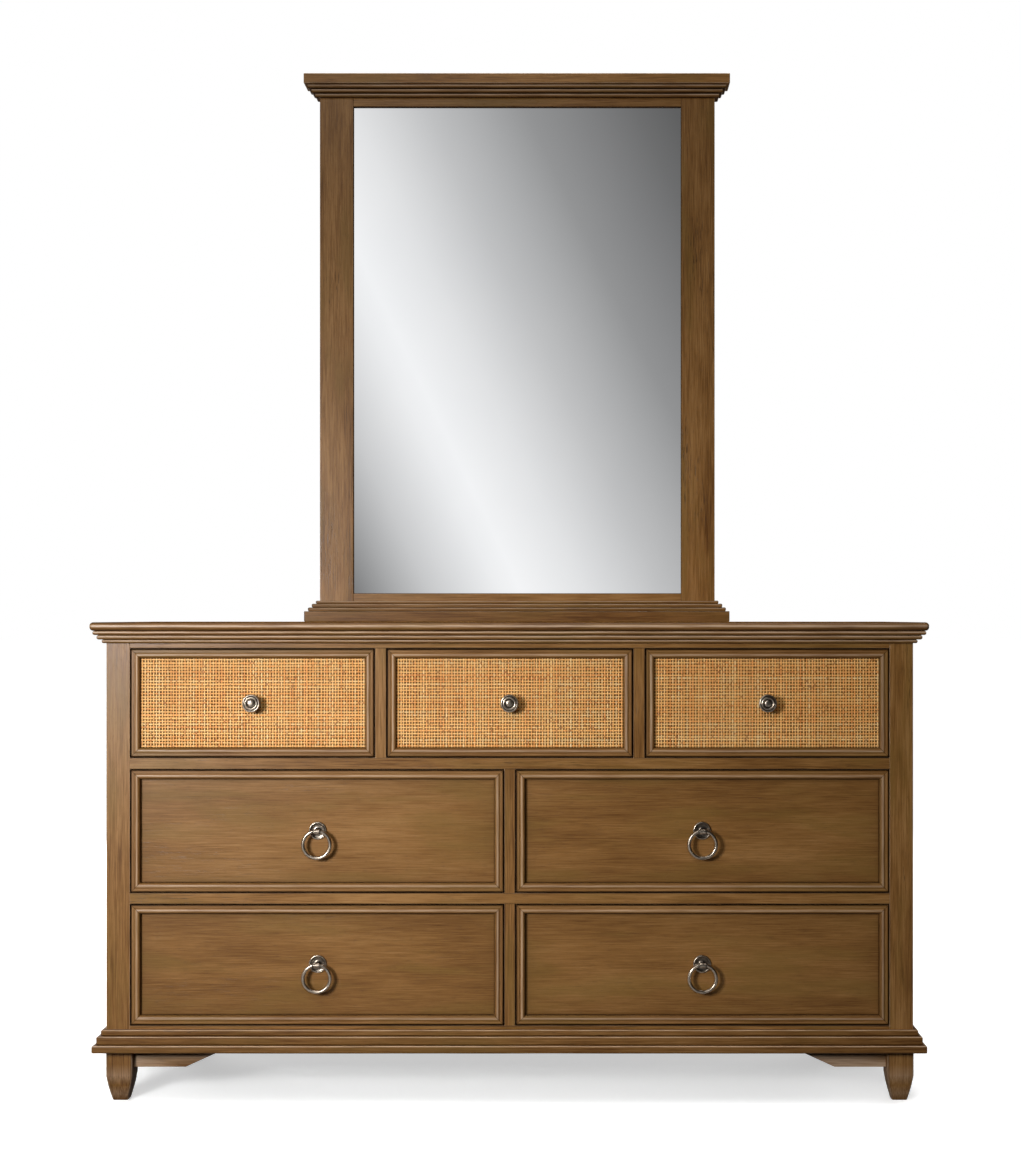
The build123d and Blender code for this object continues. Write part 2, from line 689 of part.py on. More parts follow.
make_top_board()
make_case_sides()
make_face_rails()
make_face_dividers()
make_case_inside()
make_case_panels()
keep(wrapped_moulding(TOP_CROWN_STEPS, CASE_HALF, FRONT, BACK), "crown_moulding")
keep(wrapped_moulding(BASE_STEPS, CASE_HALF, FRONT, BACK), "base_moulding")
make_feet()
make_apron_brackets()
for one in DRAWERS:
    make_drawer_front(one)
    make_drawer_box(one)
    if one["row"] is UPPER_ROW:
        make_cane(one)
        make_knob(one)
    else:
        make_pull_plate(one)
        make_pull_ring(one)
make_mirror_frame()
make_mirror_mouldings()
make_mirror_glass()
make_mirror_supports()
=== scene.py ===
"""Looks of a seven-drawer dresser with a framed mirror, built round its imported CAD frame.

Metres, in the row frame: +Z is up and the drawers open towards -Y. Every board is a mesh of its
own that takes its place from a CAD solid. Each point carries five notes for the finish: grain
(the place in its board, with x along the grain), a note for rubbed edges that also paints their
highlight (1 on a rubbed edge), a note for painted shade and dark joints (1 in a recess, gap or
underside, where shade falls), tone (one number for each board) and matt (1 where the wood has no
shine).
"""

import json
from math import acos, asin, atan2, cos, pi, radians, sin, tan

import bmesh
import bpy
import numpy as np
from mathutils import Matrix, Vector, noise

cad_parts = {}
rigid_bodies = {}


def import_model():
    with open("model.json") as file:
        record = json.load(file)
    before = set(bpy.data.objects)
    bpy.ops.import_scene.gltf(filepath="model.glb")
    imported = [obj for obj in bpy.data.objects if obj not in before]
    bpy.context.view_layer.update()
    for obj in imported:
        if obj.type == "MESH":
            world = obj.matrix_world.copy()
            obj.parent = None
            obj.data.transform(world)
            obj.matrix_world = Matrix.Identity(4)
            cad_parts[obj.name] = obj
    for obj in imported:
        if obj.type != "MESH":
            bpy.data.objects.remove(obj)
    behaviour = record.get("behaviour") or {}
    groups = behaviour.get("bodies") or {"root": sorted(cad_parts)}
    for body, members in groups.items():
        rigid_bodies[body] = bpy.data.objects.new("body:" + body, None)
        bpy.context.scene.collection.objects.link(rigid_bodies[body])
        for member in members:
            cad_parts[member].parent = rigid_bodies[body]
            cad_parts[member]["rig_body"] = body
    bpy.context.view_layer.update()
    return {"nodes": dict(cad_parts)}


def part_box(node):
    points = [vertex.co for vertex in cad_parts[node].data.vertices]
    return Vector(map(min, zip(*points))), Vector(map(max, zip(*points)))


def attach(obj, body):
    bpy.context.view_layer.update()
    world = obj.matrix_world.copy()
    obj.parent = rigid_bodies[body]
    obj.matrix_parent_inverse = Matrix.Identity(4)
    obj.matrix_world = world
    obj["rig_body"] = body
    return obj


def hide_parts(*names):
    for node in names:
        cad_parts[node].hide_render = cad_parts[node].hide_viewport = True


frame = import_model()
rng = np.random.default_rng(11)

MM = 0.001
TOUCH = 1e-5  # points this close to a face lie on it
TINY = 1e-12
AXES = {"x": (1, 0, 0), "y": (0, 1, 0), "z": (0, 0, 1)}

# --- Sizes that the frame's boxes don't tell ---
FRAME_WIDTH = 16.5 * MM
FRAME_THICK = 20 * MM
RABBET = 5 * MM
PANEL_DEPTH = 9 * MM
BEAD_PROUD = 0.8 * MM
GLUE_LINE = 0.1 * MM
MOULDING_TURN = 6
OPENINGS_HALF = 720 * MM
OPENING_GAP = 2.2 * MM

# Greys across the card that the mirror shows, from its lower left to its upper right
CARD_GREYS = ((0.03, 120), (0.09, 162), (0.17, 205), (0.21, 219), (0.248, 231), (0.29, 243), (0.33, 249),
              (0.44, 231), (0.57, 197), (0.74, 151), (0.93, 112), (1.0, 98))

# Moulding steps: (lowest height, highest height, how far it stands out, edge radius), in mm
CROWN_STEPS = ((865.5, 872.5, 7, 3.2), (872.5, 881, 14.5, 3.7), (881, 889, 20.5, 3.6))
BASE_STEPS = ((96, 110.5, 22, 2.9), (110.5, 126, 15, 2.5), (126, 137.2, 8, 2.5))
MIRROR_CROWN_STEPS = ((2022.5, 2030.3, 9, 3.2), (2030.3, 2038, 16, 3.2), (2038, 2045.5, 23, 3))
MIRROR_BASE_STEPS = (
    (905, 926.5, 28.5, 1.2), (926.5, 934.5, 21.5, 2.8), (934.5, 942.5, 14.5, 2.8), (942.5, 949, 7, 2.6),
)


# === Mesh tools ===
def unit(vector):
    vector = np.array(vector, float)
    return vector / np.linalg.norm(vector)


class Shell:
    """Closed shells gathered into one mesh, with the finish's notes at each point."""

    def __init__(self):
        self.points = []
        self.faces = []
        # Notes: grain, rubbed edges with their painted highlight, painted shade and dark joints, tone, matt
        self.notes = {"grain": [], "wear": [], "glaze": [], "tone": [], "matt": []}
        self.count = 0

    def add(self, points, faces, along, wear=0.0, glaze=0.0, tone=None, matt=0.0):
        """Adds one board, with its grain along a direction and a place of its own in the log."""
        points = np.asarray(points, float).reshape(-1, 3)
        along = unit(along)
        side = unit(np.cross(along, AXES["y"] if abs(along[1]) < 0.9 else AXES["x"]))
        axes = np.stack((along, side, np.cross(along, side)))
        log = rng.uniform(-20, 20, 3)
        tone = rng.uniform(-1, 1) if tone is None else tone
        count = len(points)
        self.points.append(points)
        self.faces += [[corner + self.count for corner in face] for face in faces]
        self.notes["grain"].append(points @ axes.T + log)
        self.notes["wear"].append(np.broadcast_to(wear, count))
        self.notes["glaze"].append(np.broadcast_to(glaze, count))
        self.notes["tone"].append(np.full(count, tone))
        self.notes["matt"].append(np.broadcast_to(matt, count))
        self.count += count


def add_object(name, data):
    obj = bpy.data.objects.new(name, data)
    bpy.context.scene.collection.objects.link(obj)
    return obj


def piece(shell, name, material, nodes, crease=32.0):
    """Makes a shell into an object that rides with its CAD nodes' body and stands for them."""
    mesh = bpy.data.meshes.new(name)
    mesh.from_pydata(np.concatenate(shell.points).tolist(), [], shell.faces)
    for note, values in shell.notes.items():
        kind, slot_name = ("FLOAT_VECTOR", "vector") if note == "grain" else ("FLOAT", "value")
        layer = mesh.attributes.new(note, kind, "POINT")
        layer.data.foreach_set(slot_name, np.concatenate(values).astype(np.float32).ravel())
    work = bmesh.new()
    work.from_mesh(mesh)
    bmesh.ops.recalc_face_normals(work, faces=work.faces)
    work.to_mesh(mesh)
    work.free()
    mesh.shade_smooth()
    if crease:
        mesh.set_sharp_from_angle(angle=radians(crease))
    obj = add_object(name, mesh)
    obj.data.materials.append(material)
    if crease:
        weighted = obj.modifiers.new("flat_faces", "WEIGHTED_NORMAL")
        weighted.keep_sharp = True
        weighted.weight = 80
    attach(obj, frame["nodes"][nodes[0]]["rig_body"])
    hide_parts(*nodes)
    return obj


def solids(node):
    """The points of each separate solid of a CAD node."""
    mesh = frame["nodes"][node].data
    points = np.array([vertex.co for vertex in mesh.vertices])
    places, label = np.unique(points.round(6), axis=0, return_inverse=True)
    label = label.ravel()
    edges = label[np.array([edge.vertices[:] for edge in mesh.edges])]
    root = np.arange(len(places))
    while True:
        low = np.minimum(root[edges[:, 0]], root[edges[:, 1]])
        joined = root.copy()
        np.minimum.at(joined, edges[:, 0], low)
        np.minimum.at(joined, edges[:, 1], low)
        joined = joined[joined]
        if (joined == root).all():
            break
        root = joined
    return [places[root == one] for one in np.unique(root)]


def grid_lines(low, high, core_low, core_high, cuts, steps):
    """Grid lines from low to high, spaced so that the rounded ends turn evenly."""
    turn = np.tan(np.linspace(0, pi / 4, steps + 1))
    lines = [low, high, *cuts]
    lines += list(core_low - (core_low - low) * turn)
    lines += list(core_high + (high - core_high) * turn)
    lines = np.unique(np.round(lines, 7))
    slack = 1e-6  # the frame's boxes are rounded to single precision
    return lines[(lines >= low - slack) & (lines <= high + slack)]


def slab(shell, low, high, radius, along, square=(), cuts=None, steps=2, **paints):
    """Board between two corners with rounded edges. square names sides that stay unrounded.

    paints are functions from points to their rubbed-edge highlight, painted shade or matt.
    """
    low, high = np.array(low, float), np.array(high, float)
    core_low, core_high = low.copy(), high.copy()
    lines = []
    for axis, letter in enumerate("xyz"):
        if letter + "-" not in square:
            core_low[axis] += radius
        if letter + "+" not in square:
            core_high[axis] -= radius
        extra = (cuts or {}).get(letter, ())
        lines.append(grid_lines(low[axis], high[axis], core_low[axis], core_high[axis], extra, steps))
    grid = np.stack(np.meshgrid(*lines, indexing="ij"), -1)
    inside = np.zeros(grid.shape[:3], bool)
    inside[1:-1, 1:-1, 1:-1] = True
    number = np.full(grid.shape[:3], -1)
    number[~inside] = np.arange((~inside).sum())
    points = grid[~inside]
    core = np.clip(points, core_low, core_high)
    away = points - core
    reach = np.abs(away).max(1)
    length = np.maximum(np.linalg.norm(away, axis=1), TINY)
    points = core + away * (reach / length)[:, None]
    sizes = np.sort(np.abs(away), axis=1)
    # Rubbed edges, which also paint a highlight along every rounded edge
    wear = sizes[:, 1] / np.maximum(sizes[:, 2], TINY)
    faces = []
    for axis in range(3):
        for end in (0, -1):
            sheet = np.take(number, end, axis)
            corners = (sheet[:-1, :-1], sheet[1:, :-1], sheet[1:, 1:], sheet[:-1, 1:])
            faces.append(np.stack(corners, -1).reshape(-1, 4))
    notes = {"wear": wear} | {name: paint(points) for name, paint in paints.items()}
    shell.add(points, np.concatenate(faces).tolist(), AXES[along], **notes)


def loft(shell, rings, along, wear=0.0, glaze=0.0, closed=False, tone=None):
    """Skins rings of points, rings[i][j] being point j of ring i, with a flat cap at each end."""
    rings = np.asarray(rings, float)
    count, size = rings.shape[:2]
    number = np.arange(count * size).reshape(count, size)
    if closed:
        number = np.vstack((number, number[:1]))
    ahead = np.roll(number, -1, axis=1)
    faces = np.stack((number[:-1], ahead[:-1], ahead[1:], number[1:]), -1).reshape(-1, 4).tolist()
    if not closed:
        faces += [number[0].tolist(), number[-1][::-1].tolist()]
    wear = np.broadcast_to(wear, (count, size)).ravel()
    glaze = np.broadcast_to(glaze, (count, size)).ravel()
    shell.add(rings, faces, along, wear, glaze, tone)


def run(shell, profile, start, end, out, up, mitre=(0, 0), sway=0.0, spacing=0.03):
    """Sweeps a closed profile, rows of (out, up, rubbed edge with painted highlight, painted shade), along
    a straight line.

    mitre says how far each end reaches beyond its point for each metre outwards, and sway how
    far hand work has let the line wander.
    """
    start, end, out, up = (np.array(vector, float) for vector in (start, end, out, up))
    rows = np.array(profile, float)
    length = np.linalg.norm(end - start)
    along = (end - start) / length
    first = -mitre[0] * rows[:, 0] + (GLUE_LINE / 2 if mitre[0] else 0)
    last = length + mitre[1] * rows[:, 0] - (GLUE_LINE / 2 if mitre[1] else 0)
    edge = 1.3 * MM
    shares = np.linspace(0, 1, max(2, int(length / spacing)) + 1)[1:-1]
    places = [first, first + edge, *[first + (last - first) * share for share in shares], last - edge, last]
    seed = rng.uniform(0, 50)
    rings, dark = [], []
    for index, place in enumerate(places):
        ends = index in (0, len(places) - 1)
        middle = float(place.mean())
        calm = min(1.0, 10 * min(middle, length - middle) / max(length, 1e-6))
        drift = sway * calm * noise.noise(Vector((middle * 9, seed, 0)))
        lift = sway * calm * noise.noise(Vector((middle * 9, seed, 9)))
        rings.append(
            start + place[:, None] * along + (rows[:, :1] + drift) * out + (rows[:, 1:2] + lift) * up
        )
        mitred = ends and mitre[0 if index == 0 else 1]
        # Darker at a mitred end: the dark joint line
        dark.append(np.maximum(rows[:, 3], 0.8) if mitred else rows[:, 3])
    loft(shell, rings, along, np.tile(rows[:, 2], (len(rings), 1)), dark)


def outline(corners, steps=3, fade=2.0 * MM):
    """Closed profile through rounded corners (x, y, radius), anticlockwise, as run() takes it."""
    rows = []
    for index, (x, y, radius) in enumerate(corners):
        here = np.array((x, y), float)
        back = np.array(corners[index - 1][:2]) - here
        ahead = np.array(corners[(index + 1) % len(corners)][:2]) - here
        room_back, room_ahead = np.linalg.norm(back), np.linalg.norm(ahead)
        back, ahead = back / room_back, ahead / room_ahead
        outward = ahead[1] * back[0] - ahead[0] * back[1] < 0
        opening = acos(np.clip(back @ ahead, -1, 1))
        cut = radius / tan(opening / 2)
        centre = here + unit(back + ahead) * radius / sin(opening / 2)
        if room_back > 2 * (cut + fade):
            rows.append((*(here + back * (cut + fade)), 0, 0))
        arm_from, arm_to = here + back * cut - centre, here + ahead * cut - centre
        angle = pi - opening
        for step in range(steps + 1):
            share = step / steps
            arm = (sin((1 - share) * angle) * arm_from + sin(share * angle) * arm_to) / sin(angle)
            rows.append((*(centre + arm), sin(pi * share) if outward else 0, 0 if outward else 1))
        if room_ahead > 2 * (cut + fade):
            rows.append((*(here + ahead * (cut + fade)), 0, 0))
    return rows


def stepped(steps):
    """Profile of a moulding with rounded steps, from the lowest to the highest.

    Each step's face and rounded underside carry painted shade, darkest under a step that stands out
    further, and its rounded top a rubbed crest that also paints a highlight, set where the light
    catches the round, higher on it for a crown than for a base.
    """
    rows = []
    arc = np.linspace(0, pi / 2, MOULDING_TURN + 1)
    falling = steps[0][2] > steps[-1][2]
    # Painted shade over each face, and where on the round the crest's painted highlight sits, for crowns and
    # for bases
    face_shade, crest_turn, crest_sharp = (0.26, 0.75, 3.0) if falling else (0.2, 0.3, 2.4)
    rise_turn = 0.8  # where the painted shade under the next step starts
    for index, (low, high, reach, radius) in enumerate(steps):
        over = steps[index + 1][2] if index < len(steps) - 1 else 0
        for turn in arc:
            # Painted shade on the rounded underside of each step
            shaded = max(0.0, 1 - 0.62 * turn) if index or not falling else 0.35
            rows.append((reach - radius + radius * sin(turn), low + radius - radius * cos(turn), 0.0,
                         max(shaded, face_shade)))
        for turn in arc:
            # Painted shade under the next step, where that one stands out further
            shaded = max(0.0, (turn - rise_turn) / (pi / 2 - rise_turn)) if over > reach else 0.0
            # Rubbed crest, which also paints the highlight
            bend = abs(turn - crest_turn) * crest_sharp
            crest = cos(bend) ** 1.5 if bend < pi / 2 else 0.0
            rows.append((reach - radius + radius * cos(turn), high - radius + radius * sin(turn), crest,
                         max(shaded, face_shade * (1 - crest))))
    rows.append((0, steps[-1][1], 0, 0.3))
    rows.append((0, steps[0][0], 0, 0.3))
    return [(out * MM, height * MM, wear, glaze) for out, height, wear, glaze in rows]


def lathe(shell, centre, axis, profile, segments=56, closed=False, tone=None, glaze=None):
    """Turned shape about an axis through centre: profile rows are (radius, height), in mm.

    The darkening argument gives (radius, darkness) points: darker turned grooves, and on the pull
    plate a painted dark reflection in its dish.
    """
    axis = unit(axis)
    side = unit(np.cross(axis, (0, 0, 1) if abs(axis[2]) < 0.9 else (1, 0, 0)))
    other = np.cross(axis, side)
    turns = np.linspace(0, 2 * pi, segments, endpoint=False)
    wheel = np.cos(turns)[:, None] * side + np.sin(turns)[:, None] * other
    rings = [np.array(centre) + axis * height * MM + wheel * radius * MM for radius, height in profile]
    radii = [radius for radius, _ in profile]
    dark = np.interp(radii, *zip(*glaze))[:, None] if glaze else 0.0
    loft(shell, rings, axis, 0.0, dark, closed, tone)


def smooth_path(points, steps=5):
    """A flowing line through points of a profile, as rows of (radius, height)."""
    points = np.array([points[0], *points, points[-1]], float)
    rows = [tuple(points[1])]
    for p0, p1, p2, p3 in zip(points, points[1:], points[2:], points[3:]):
        for step in range(1, steps + 1):
            t = step / steps
            row = 0.5 * (2 * p1 + (p2 - p0) * t + (2 * p0 - 5 * p1 + 4 * p2 - p3) * t**2
                         + (3 * p1 - p0 - 3 * p2 + p3) * t**3)
            rows.append(tuple(row))
    return rows


# === Materials ===
class Tree:
    """A material's node tree, with a short way to add nodes."""

    def __init__(self, name):
        self.material = bpy.data.materials.new(name)
        self.material.use_nodes = True
        self.nodes = self.material.node_tree.nodes
        self.links = self.material.node_tree.links
        self.shader = self.nodes["Principled BSDF"]

    def add(self, kind, inputs=None, **settings):
        node = self.nodes.new(kind)
        for name, value in settings.items():
            setattr(node, name, value)
        self.feed(node, inputs or {})
        return node

    def feed(self, node, inputs):
        for name, value in inputs.items():
            if isinstance(value, bpy.types.NodeSocket):
                self.links.new(value, node.inputs[name])
            else:
                node.inputs[name].default_value = value

    def surface(self, inputs):
        self.feed(self.shader, inputs)
        return self.material

    def note(self, name):
        node = self.add("ShaderNodeAttribute", attribute_name=name)
        return node.outputs["Vector"] if name == "grain" else node.outputs["Fac"]

    def scaled(self, vector, scale):
        node = self.add("ShaderNodeVectorMath", {0: vector, 1: scale}, operation="MULTIPLY")
        return node.outputs[0]

    def noise(self, vector, scale, detail=3.0, roughness=0.55, distortion=0.0):
        inputs = {"Vector": self.scaled(vector, scale), "Scale": 1.0, "Detail": detail,
                  "Roughness": roughness, "Distortion": distortion}
        return self.add("ShaderNodeTexNoise", inputs).outputs["Fac"]

    def math(self, operation, a, b=0.0, c=0.0, clamp=False):
        node = self.add("ShaderNodeMath", {0: a, 1: b, 2: c}, operation=operation, use_clamp=clamp)
        return node.outputs[0]

    def fit(self, value, low, high, to_low=0.0, to_high=1.0):
        inputs = {"Value": value, "From Min": low, "From Max": high, "To Min": to_low, "To Max": to_high}
        return self.add("ShaderNodeMapRange", inputs, interpolation_type="SMOOTHSTEP").outputs["Result"]

    def ramp(self, value, stops):
        node = self.add("ShaderNodeValToRGB", {"Fac": value})
        elements = node.color_ramp.elements
        while len(elements) < len(stops):
            elements.new(0.5)
        for element, (place, colour) in zip(elements, stops):
            element.position = place
            element.color = (*colour, 1)
        return node.outputs["Color"]

    def mix(self, factor, a, b, blend="MIX"):
        node = self.add("ShaderNodeMix", data_type="RGBA", blend_type=blend)
        colour = lambda value: value if isinstance(value, bpy.types.NodeSocket) else (*value, 1)
        self.feed(node, {0: factor, 6: colour(a), 7: colour(b)})
        return node.outputs[2]

    def bump(self, height, strength, distance):
        inputs = {"Strength": strength, "Distance": distance, "Height": height}
        return self.add("ShaderNodeBump", inputs).outputs["Normal"]


def wood(name, dark, middle, light, olive, worn_and_highlight, dark_marks_and_shade, satin, marks, figure=1.0):
    """Grained wood: streaks, pores, soft clouds, rubbed edges lightened with a painted highlight, and
    painted shade darkening the recesses, gaps and undersides.

    marks is the strength of its small flaws, and figure how far its grain departs from middle.
    """
    tree = Tree(name)
    grain = tree.note("grain")
    clouds = tree.noise(grain, (4.2, 19, 19), 3)
    hue = tree.noise(grain, (4.5, 21, 21), 2)
    rings = tree.noise(grain, (1.2, 48, 48), 2, distortion=0.9)
    streaks = tree.noise(grain, (14, 430, 430), 4, 0.6, 0.2)
    fibres = tree.noise(grain, (42, 900, 900), 3)
    pores = tree.fit(tree.noise(grain, (75, 1500, 1500), 2), 0.60, 0.74)
    spots = tree.noise(grain, (3.2, 14, 14), 1)
    strokes = tree.noise(grain, (26, 470, 470), 2, distortion=0.4)
    flaws = tree.math("MULTIPLY", tree.fit(spots, 0.52, 0.68), tree.fit(strokes, 0.58, 0.70))

    level = tree.math("MULTIPLY_ADD", streaks, 0.58, tree.math("MULTIPLY", rings, 0.18))
    level = tree.math("MULTIPLY_ADD", clouds, 0.40, level)
    level = tree.math("MULTIPLY_ADD", tree.note("tone"), 0.035, level)
    mean = 0.575
    colour = tree.ramp(level, ((mean - 0.175 / figure, dark), (mean, middle), (mean + 0.185 / figure, light)))
    colour = tree.mix(tree.fit(hue, 0.46, 0.70, 0, 0.55), colour, olive, "MIX")
    fine = tree.math("MULTIPLY_ADD", fibres, 0.34, 0.83)
    colour = tree.mix(1.0, colour, fine, "MULTIPLY")
    colour = tree.mix(tree.math("MULTIPLY", pores, 0.42), colour, dark_marks_and_shade)
    colour = tree.mix(tree.math("MULTIPLY", flaws, marks), colour, dark_marks_and_shade)
    # Rubbed edges lightened along the grain: wear and painted highlight
    rubbed_highlight = tree.math("MULTIPLY", tree.note("wear"), tree.fit(streaks, 0.36, 0.62, 0.42, 0.88))
    colour = tree.mix(rubbed_highlight, colour, worn_and_highlight)
    # Painted shade in recesses, gaps and undersides, broken up by the clouds
    shaded = tree.math("MULTIPLY", tree.note("glaze"), tree.fit(clouds, 0.3, 0.7, 0.75, 1.0), clamp=True)
    colour = tree.mix(shaded, colour, dark_marks_and_shade)

    rough = tree.math("MULTIPLY_ADD", streaks, 0.16, satin)
    rough = tree.math("MULTIPLY_ADD", pores, 0.18, rough)
    rough = tree.math("MULTIPLY_ADD", tree.note("glaze"), 0.2, rough)
    dull = tree.math("MAXIMUM", tree.note("matt"), tree.math("MULTIPLY", tree.note("glaze"), 0.85))
    shine = tree.math("MULTIPLY_ADD", dull, -0.33, 0.33)
    height = tree.math("MULTIPLY_ADD", streaks, 0.55, tree.math("MULTIPLY", fibres, 0.3))
    height = tree.math("MULTIPLY_ADD", pores, -0.5, height)
    height = tree.math("MULTIPLY_ADD", flaws, -0.8, height)
    return tree.surface({"Base Color": colour, "Roughness": rough, "Specular IOR Level": shine,
                         "Normal": tree.bump(height, 0.35, 0.35 * MM)})


def cane_material():
    """Split cane: pale glossy skin, each strand with its own tint, darker fibres and knots, and painted
    shade on the strands' sides, backs and underpasses.
    """
    tree = Tree("split_cane")
    grain = tree.note("grain")
    fibres = tree.noise(grain, (60, 2200, 2200), 3)
    lengths = tree.noise(grain, (38, 38, 38), 3)
    knots = tree.fit(tree.noise(grain, (150, 2, 2), 2), 0.58, 0.70)
    level = tree.math("MULTIPLY_ADD", tree.note("tone"), 0.22, tree.math("MULTIPLY", lengths, 0.75))
    level = tree.math("MULTIPLY_ADD", fibres, 0.2, level)
    colour = tree.ramp(level, (
        (0.12, (0.72, 0.245, 0.050)), (0.33, (0.99, 0.435, 0.108)),
        (0.52, (1.00, 0.560, 0.175)), (0.78, (1.00, 0.730, 0.350)),
    ))
    colour = tree.mix(tree.math("MULTIPLY", knots, 0.7), colour, (0.38, 0.095, 0.018))
    # Painted shade on the strands' sides, backs and underpasses, in a red-brown
    colour = tree.mix(tree.note("glaze"), colour, (0.44, 0.135, 0.030))
    rough = tree.math("MULTIPLY_ADD", fibres, 0.25, 0.34)
    return tree.surface({"Base Color": colour, "Roughness": rough, "Specular IOR Level": 0.6,
                         "Normal": tree.bump(fibres, 0.5, 0.12 * MM)})


def metal_material(name, bright, shade, smooth, brushed):
    """Plated metal, with faint cloudy wear and fine polishing lines, darkened as painted shade between
    parts and as a painted dark reflection in the pull plate's dish.
    """
    tree = Tree(name)
    place = tree.add("ShaderNodeTexCoord").outputs["Object"]
    clouds = tree.noise(place, (140, 140, 140), 4)
    lines = tree.noise(place, (1500, 1500, 5000), 2)
    colour = tree.mix(tree.fit(clouds, 0.35, 0.75), bright, shade)
    # Painted shade between parts and a painted dark reflection in the pull plate's dish; darker turned grooves
    # on the knob
    colour = tree.mix(tree.note("glaze"), colour, (0.05, 0.045, 0.04))
    rough = tree.math("MULTIPLY_ADD", clouds, brushed, smooth)
    rough = tree.math("MULTIPLY_ADD", lines, brushed / 2, rough)
    return tree.surface({"Base Color": colour, "Metallic": 1.0, "Roughness": rough,
                         "Normal": tree.bump(lines, 0.06, 0.05 * MM)})


def mirror_material():
    """Silvered glass with a little uneven polish."""
    tree = Tree("silvered_glass")
    place = tree.add("ShaderNodeTexCoord").outputs["Object"]
    film = tree.noise(place, (3, 3, 2), 4)
    colour = tree.mix(tree.fit(film, 0.3, 0.7), (0.955, 0.962, 0.965), (0.925, 0.935, 0.942))
    rough = tree.fit(film, 0.4, 0.8, 0.006, 0.022)
    return tree.surface({"Base Color": colour, "Metallic": 1.0, "Roughness": rough})


# The lightest colour paints rubbed edges and their highlight; the darkest paints pores, flaws and the painted
# shade
BROWN = {
    "dark": (0.112, 0.044, 0.009), "middle": (0.232, 0.108, 0.029), "light": (0.350, 0.182, 0.062),
    "olive": (0.205, 0.112, 0.026), "worn_and_highlight": (0.62, 0.45, 0.315), "dark_marks_and_shade": (0.022, 0.0070, 0.0016),
    "satin": 0.27,
}
FINISH = wood("brown_glazed_wood", **BROWN, marks=0.75, figure=1.2)
PANEL_FINISH = wood("brown_glazed_panel_wood", **BROWN, marks=0.25, figure=0.82)
BARE = wood(
    "bare_poplar", dark=(0.33, 0.215, 0.105), middle=(0.43, 0.30, 0.165), light=(0.53, 0.40, 0.25),
    olive=(0.38, 0.285, 0.15), worn_and_highlight=(0.55, 0.43, 0.28), dark_marks_and_shade=(0.16, 0.085, 0.035), satin=0.55, marks=0.45,
)
BOX_WOOD = wood(
    "lacquered_maple", dark=(0.44, 0.29, 0.15), middle=(0.57, 0.41, 0.24), light=(0.67, 0.52, 0.34),
    olive=(0.55, 0.41, 0.23), worn_and_highlight=(0.70, 0.57, 0.40), dark_marks_and_shade=(0.26, 0.15, 0.07), satin=0.40, marks=0.3,
)
CANE = cane_material()
NICKEL = metal_material("satin_nickel", (0.58, 0.495, 0.40), (0.38, 0.315, 0.25), 0.19, 0.15)
STEEL = metal_material("zinc_steel", (0.62, 0.62, 0.60), (0.42, 0.42, 0.41), 0.26, 0.2)
MIRROR = mirror_material()


# === Case ===
# How far the painted shade round the drawers' openings fades over the face frame
SHADE_FADE = np.array((0.6, 1.3, 2.4)) * MM


def opening_shade(points, front, reveal):
    """Painted shade inside the drawers' openings, fading out over the face frame round them."""
    deep = np.clip((points[:, 1] - front) / reveal - 0.3, 0, 0.9)
    inside = np.where(np.abs(points[:, 0]) < OPENINGS_HALF, deep, 0)
    around = np.zeros(len(points))
    for node in frame["nodes"]:
        if node.startswith("drawer_") and node.endswith("_front"):
            low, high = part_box(node)
            beside = np.maximum(np.maximum(low.x - points[:, 0], points[:, 0] - high.x), 0)
            over = np.maximum(np.maximum(low.z - points[:, 2], points[:, 2] - high.z), 0)
            room = np.hypot(beside, over) - OPENING_GAP
            around = np.maximum(around, np.interp(room, (0, *SHADE_FADE), (0.95, 0.7, 0.25, 0)))
    return np.maximum(inside, around)


def boards(node, material, radius, square_ends=True, reveal=None):
    """Every solid of a node as a board with its grain along its longest side.

    reveal is how deep the front edge is before the painted shade that darkens the drawers' openings.
    """
    shell = Shell()
    for points in solids(node):
        low, high = points.min(0), points.max(0)
        size = high - low
        letter = "xyz"[int(np.argmax(size))]
        square = (letter + "-", letter + "+") if square_ends else ()
        cuts, paints = None, {}
        if reveal:
            cuts = {"y": (low[1] + reveal, low[1] + 2 * reveal)}
            for axis, near in ((0, "x"), (2, "z")):
                cuts[near] = [*(low[axis] + SHADE_FADE), *(high[axis] - SHADE_FADE)]
            # Painted shade in and round the drawers' openings
            paints["glaze"] = lambda points, front=low[1]: opening_shade(points, front, reveal)
        slab(shell, low, high, min(radius, size.min() * 0.3), letter, square, cuts, **paints)
    return piece(shell, f"{node}_wood", material, [node])


def build_top_board():
    low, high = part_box("top_board")
    shell = Shell()
    cuts = {"x": np.linspace(low.x, high.x, 42)[1:-1], "y": np.linspace(low.y, high.y, 14)[1:-1]}
    nose = 7.5 * MM

    def glaze(points):
        """Painted shade where the nose turns up to the top and down to the crown."""
        turned = np.abs(points[:, 2] - (low.z + high.z) / 2) / nose
        on_top = (points[:, 2] > high.z - TOUCH) & (points[:, 1] > low.y + 2 * nose)
        return np.where(on_top, 0.0, np.clip((turned - 0.35) * 1.3, 0, 0.75))

    def crest(points):
        """Rubbed along the middle of the nose, which also paints its highlight there."""
        return np.exp(-(((points[:, 2] - (low.z + high.z) / 2) / nose - 0.12) / 0.26) ** 2)

    def matt(points):
        return points[:, 2] > high.z - 1 * MM

    slab(shell, low, high, nose, "x", ("y+",), cuts, 8, glaze=glaze, wear=crest, matt=matt)
    piece(shell, "top_board_wood", FINISH, ["top_board"])


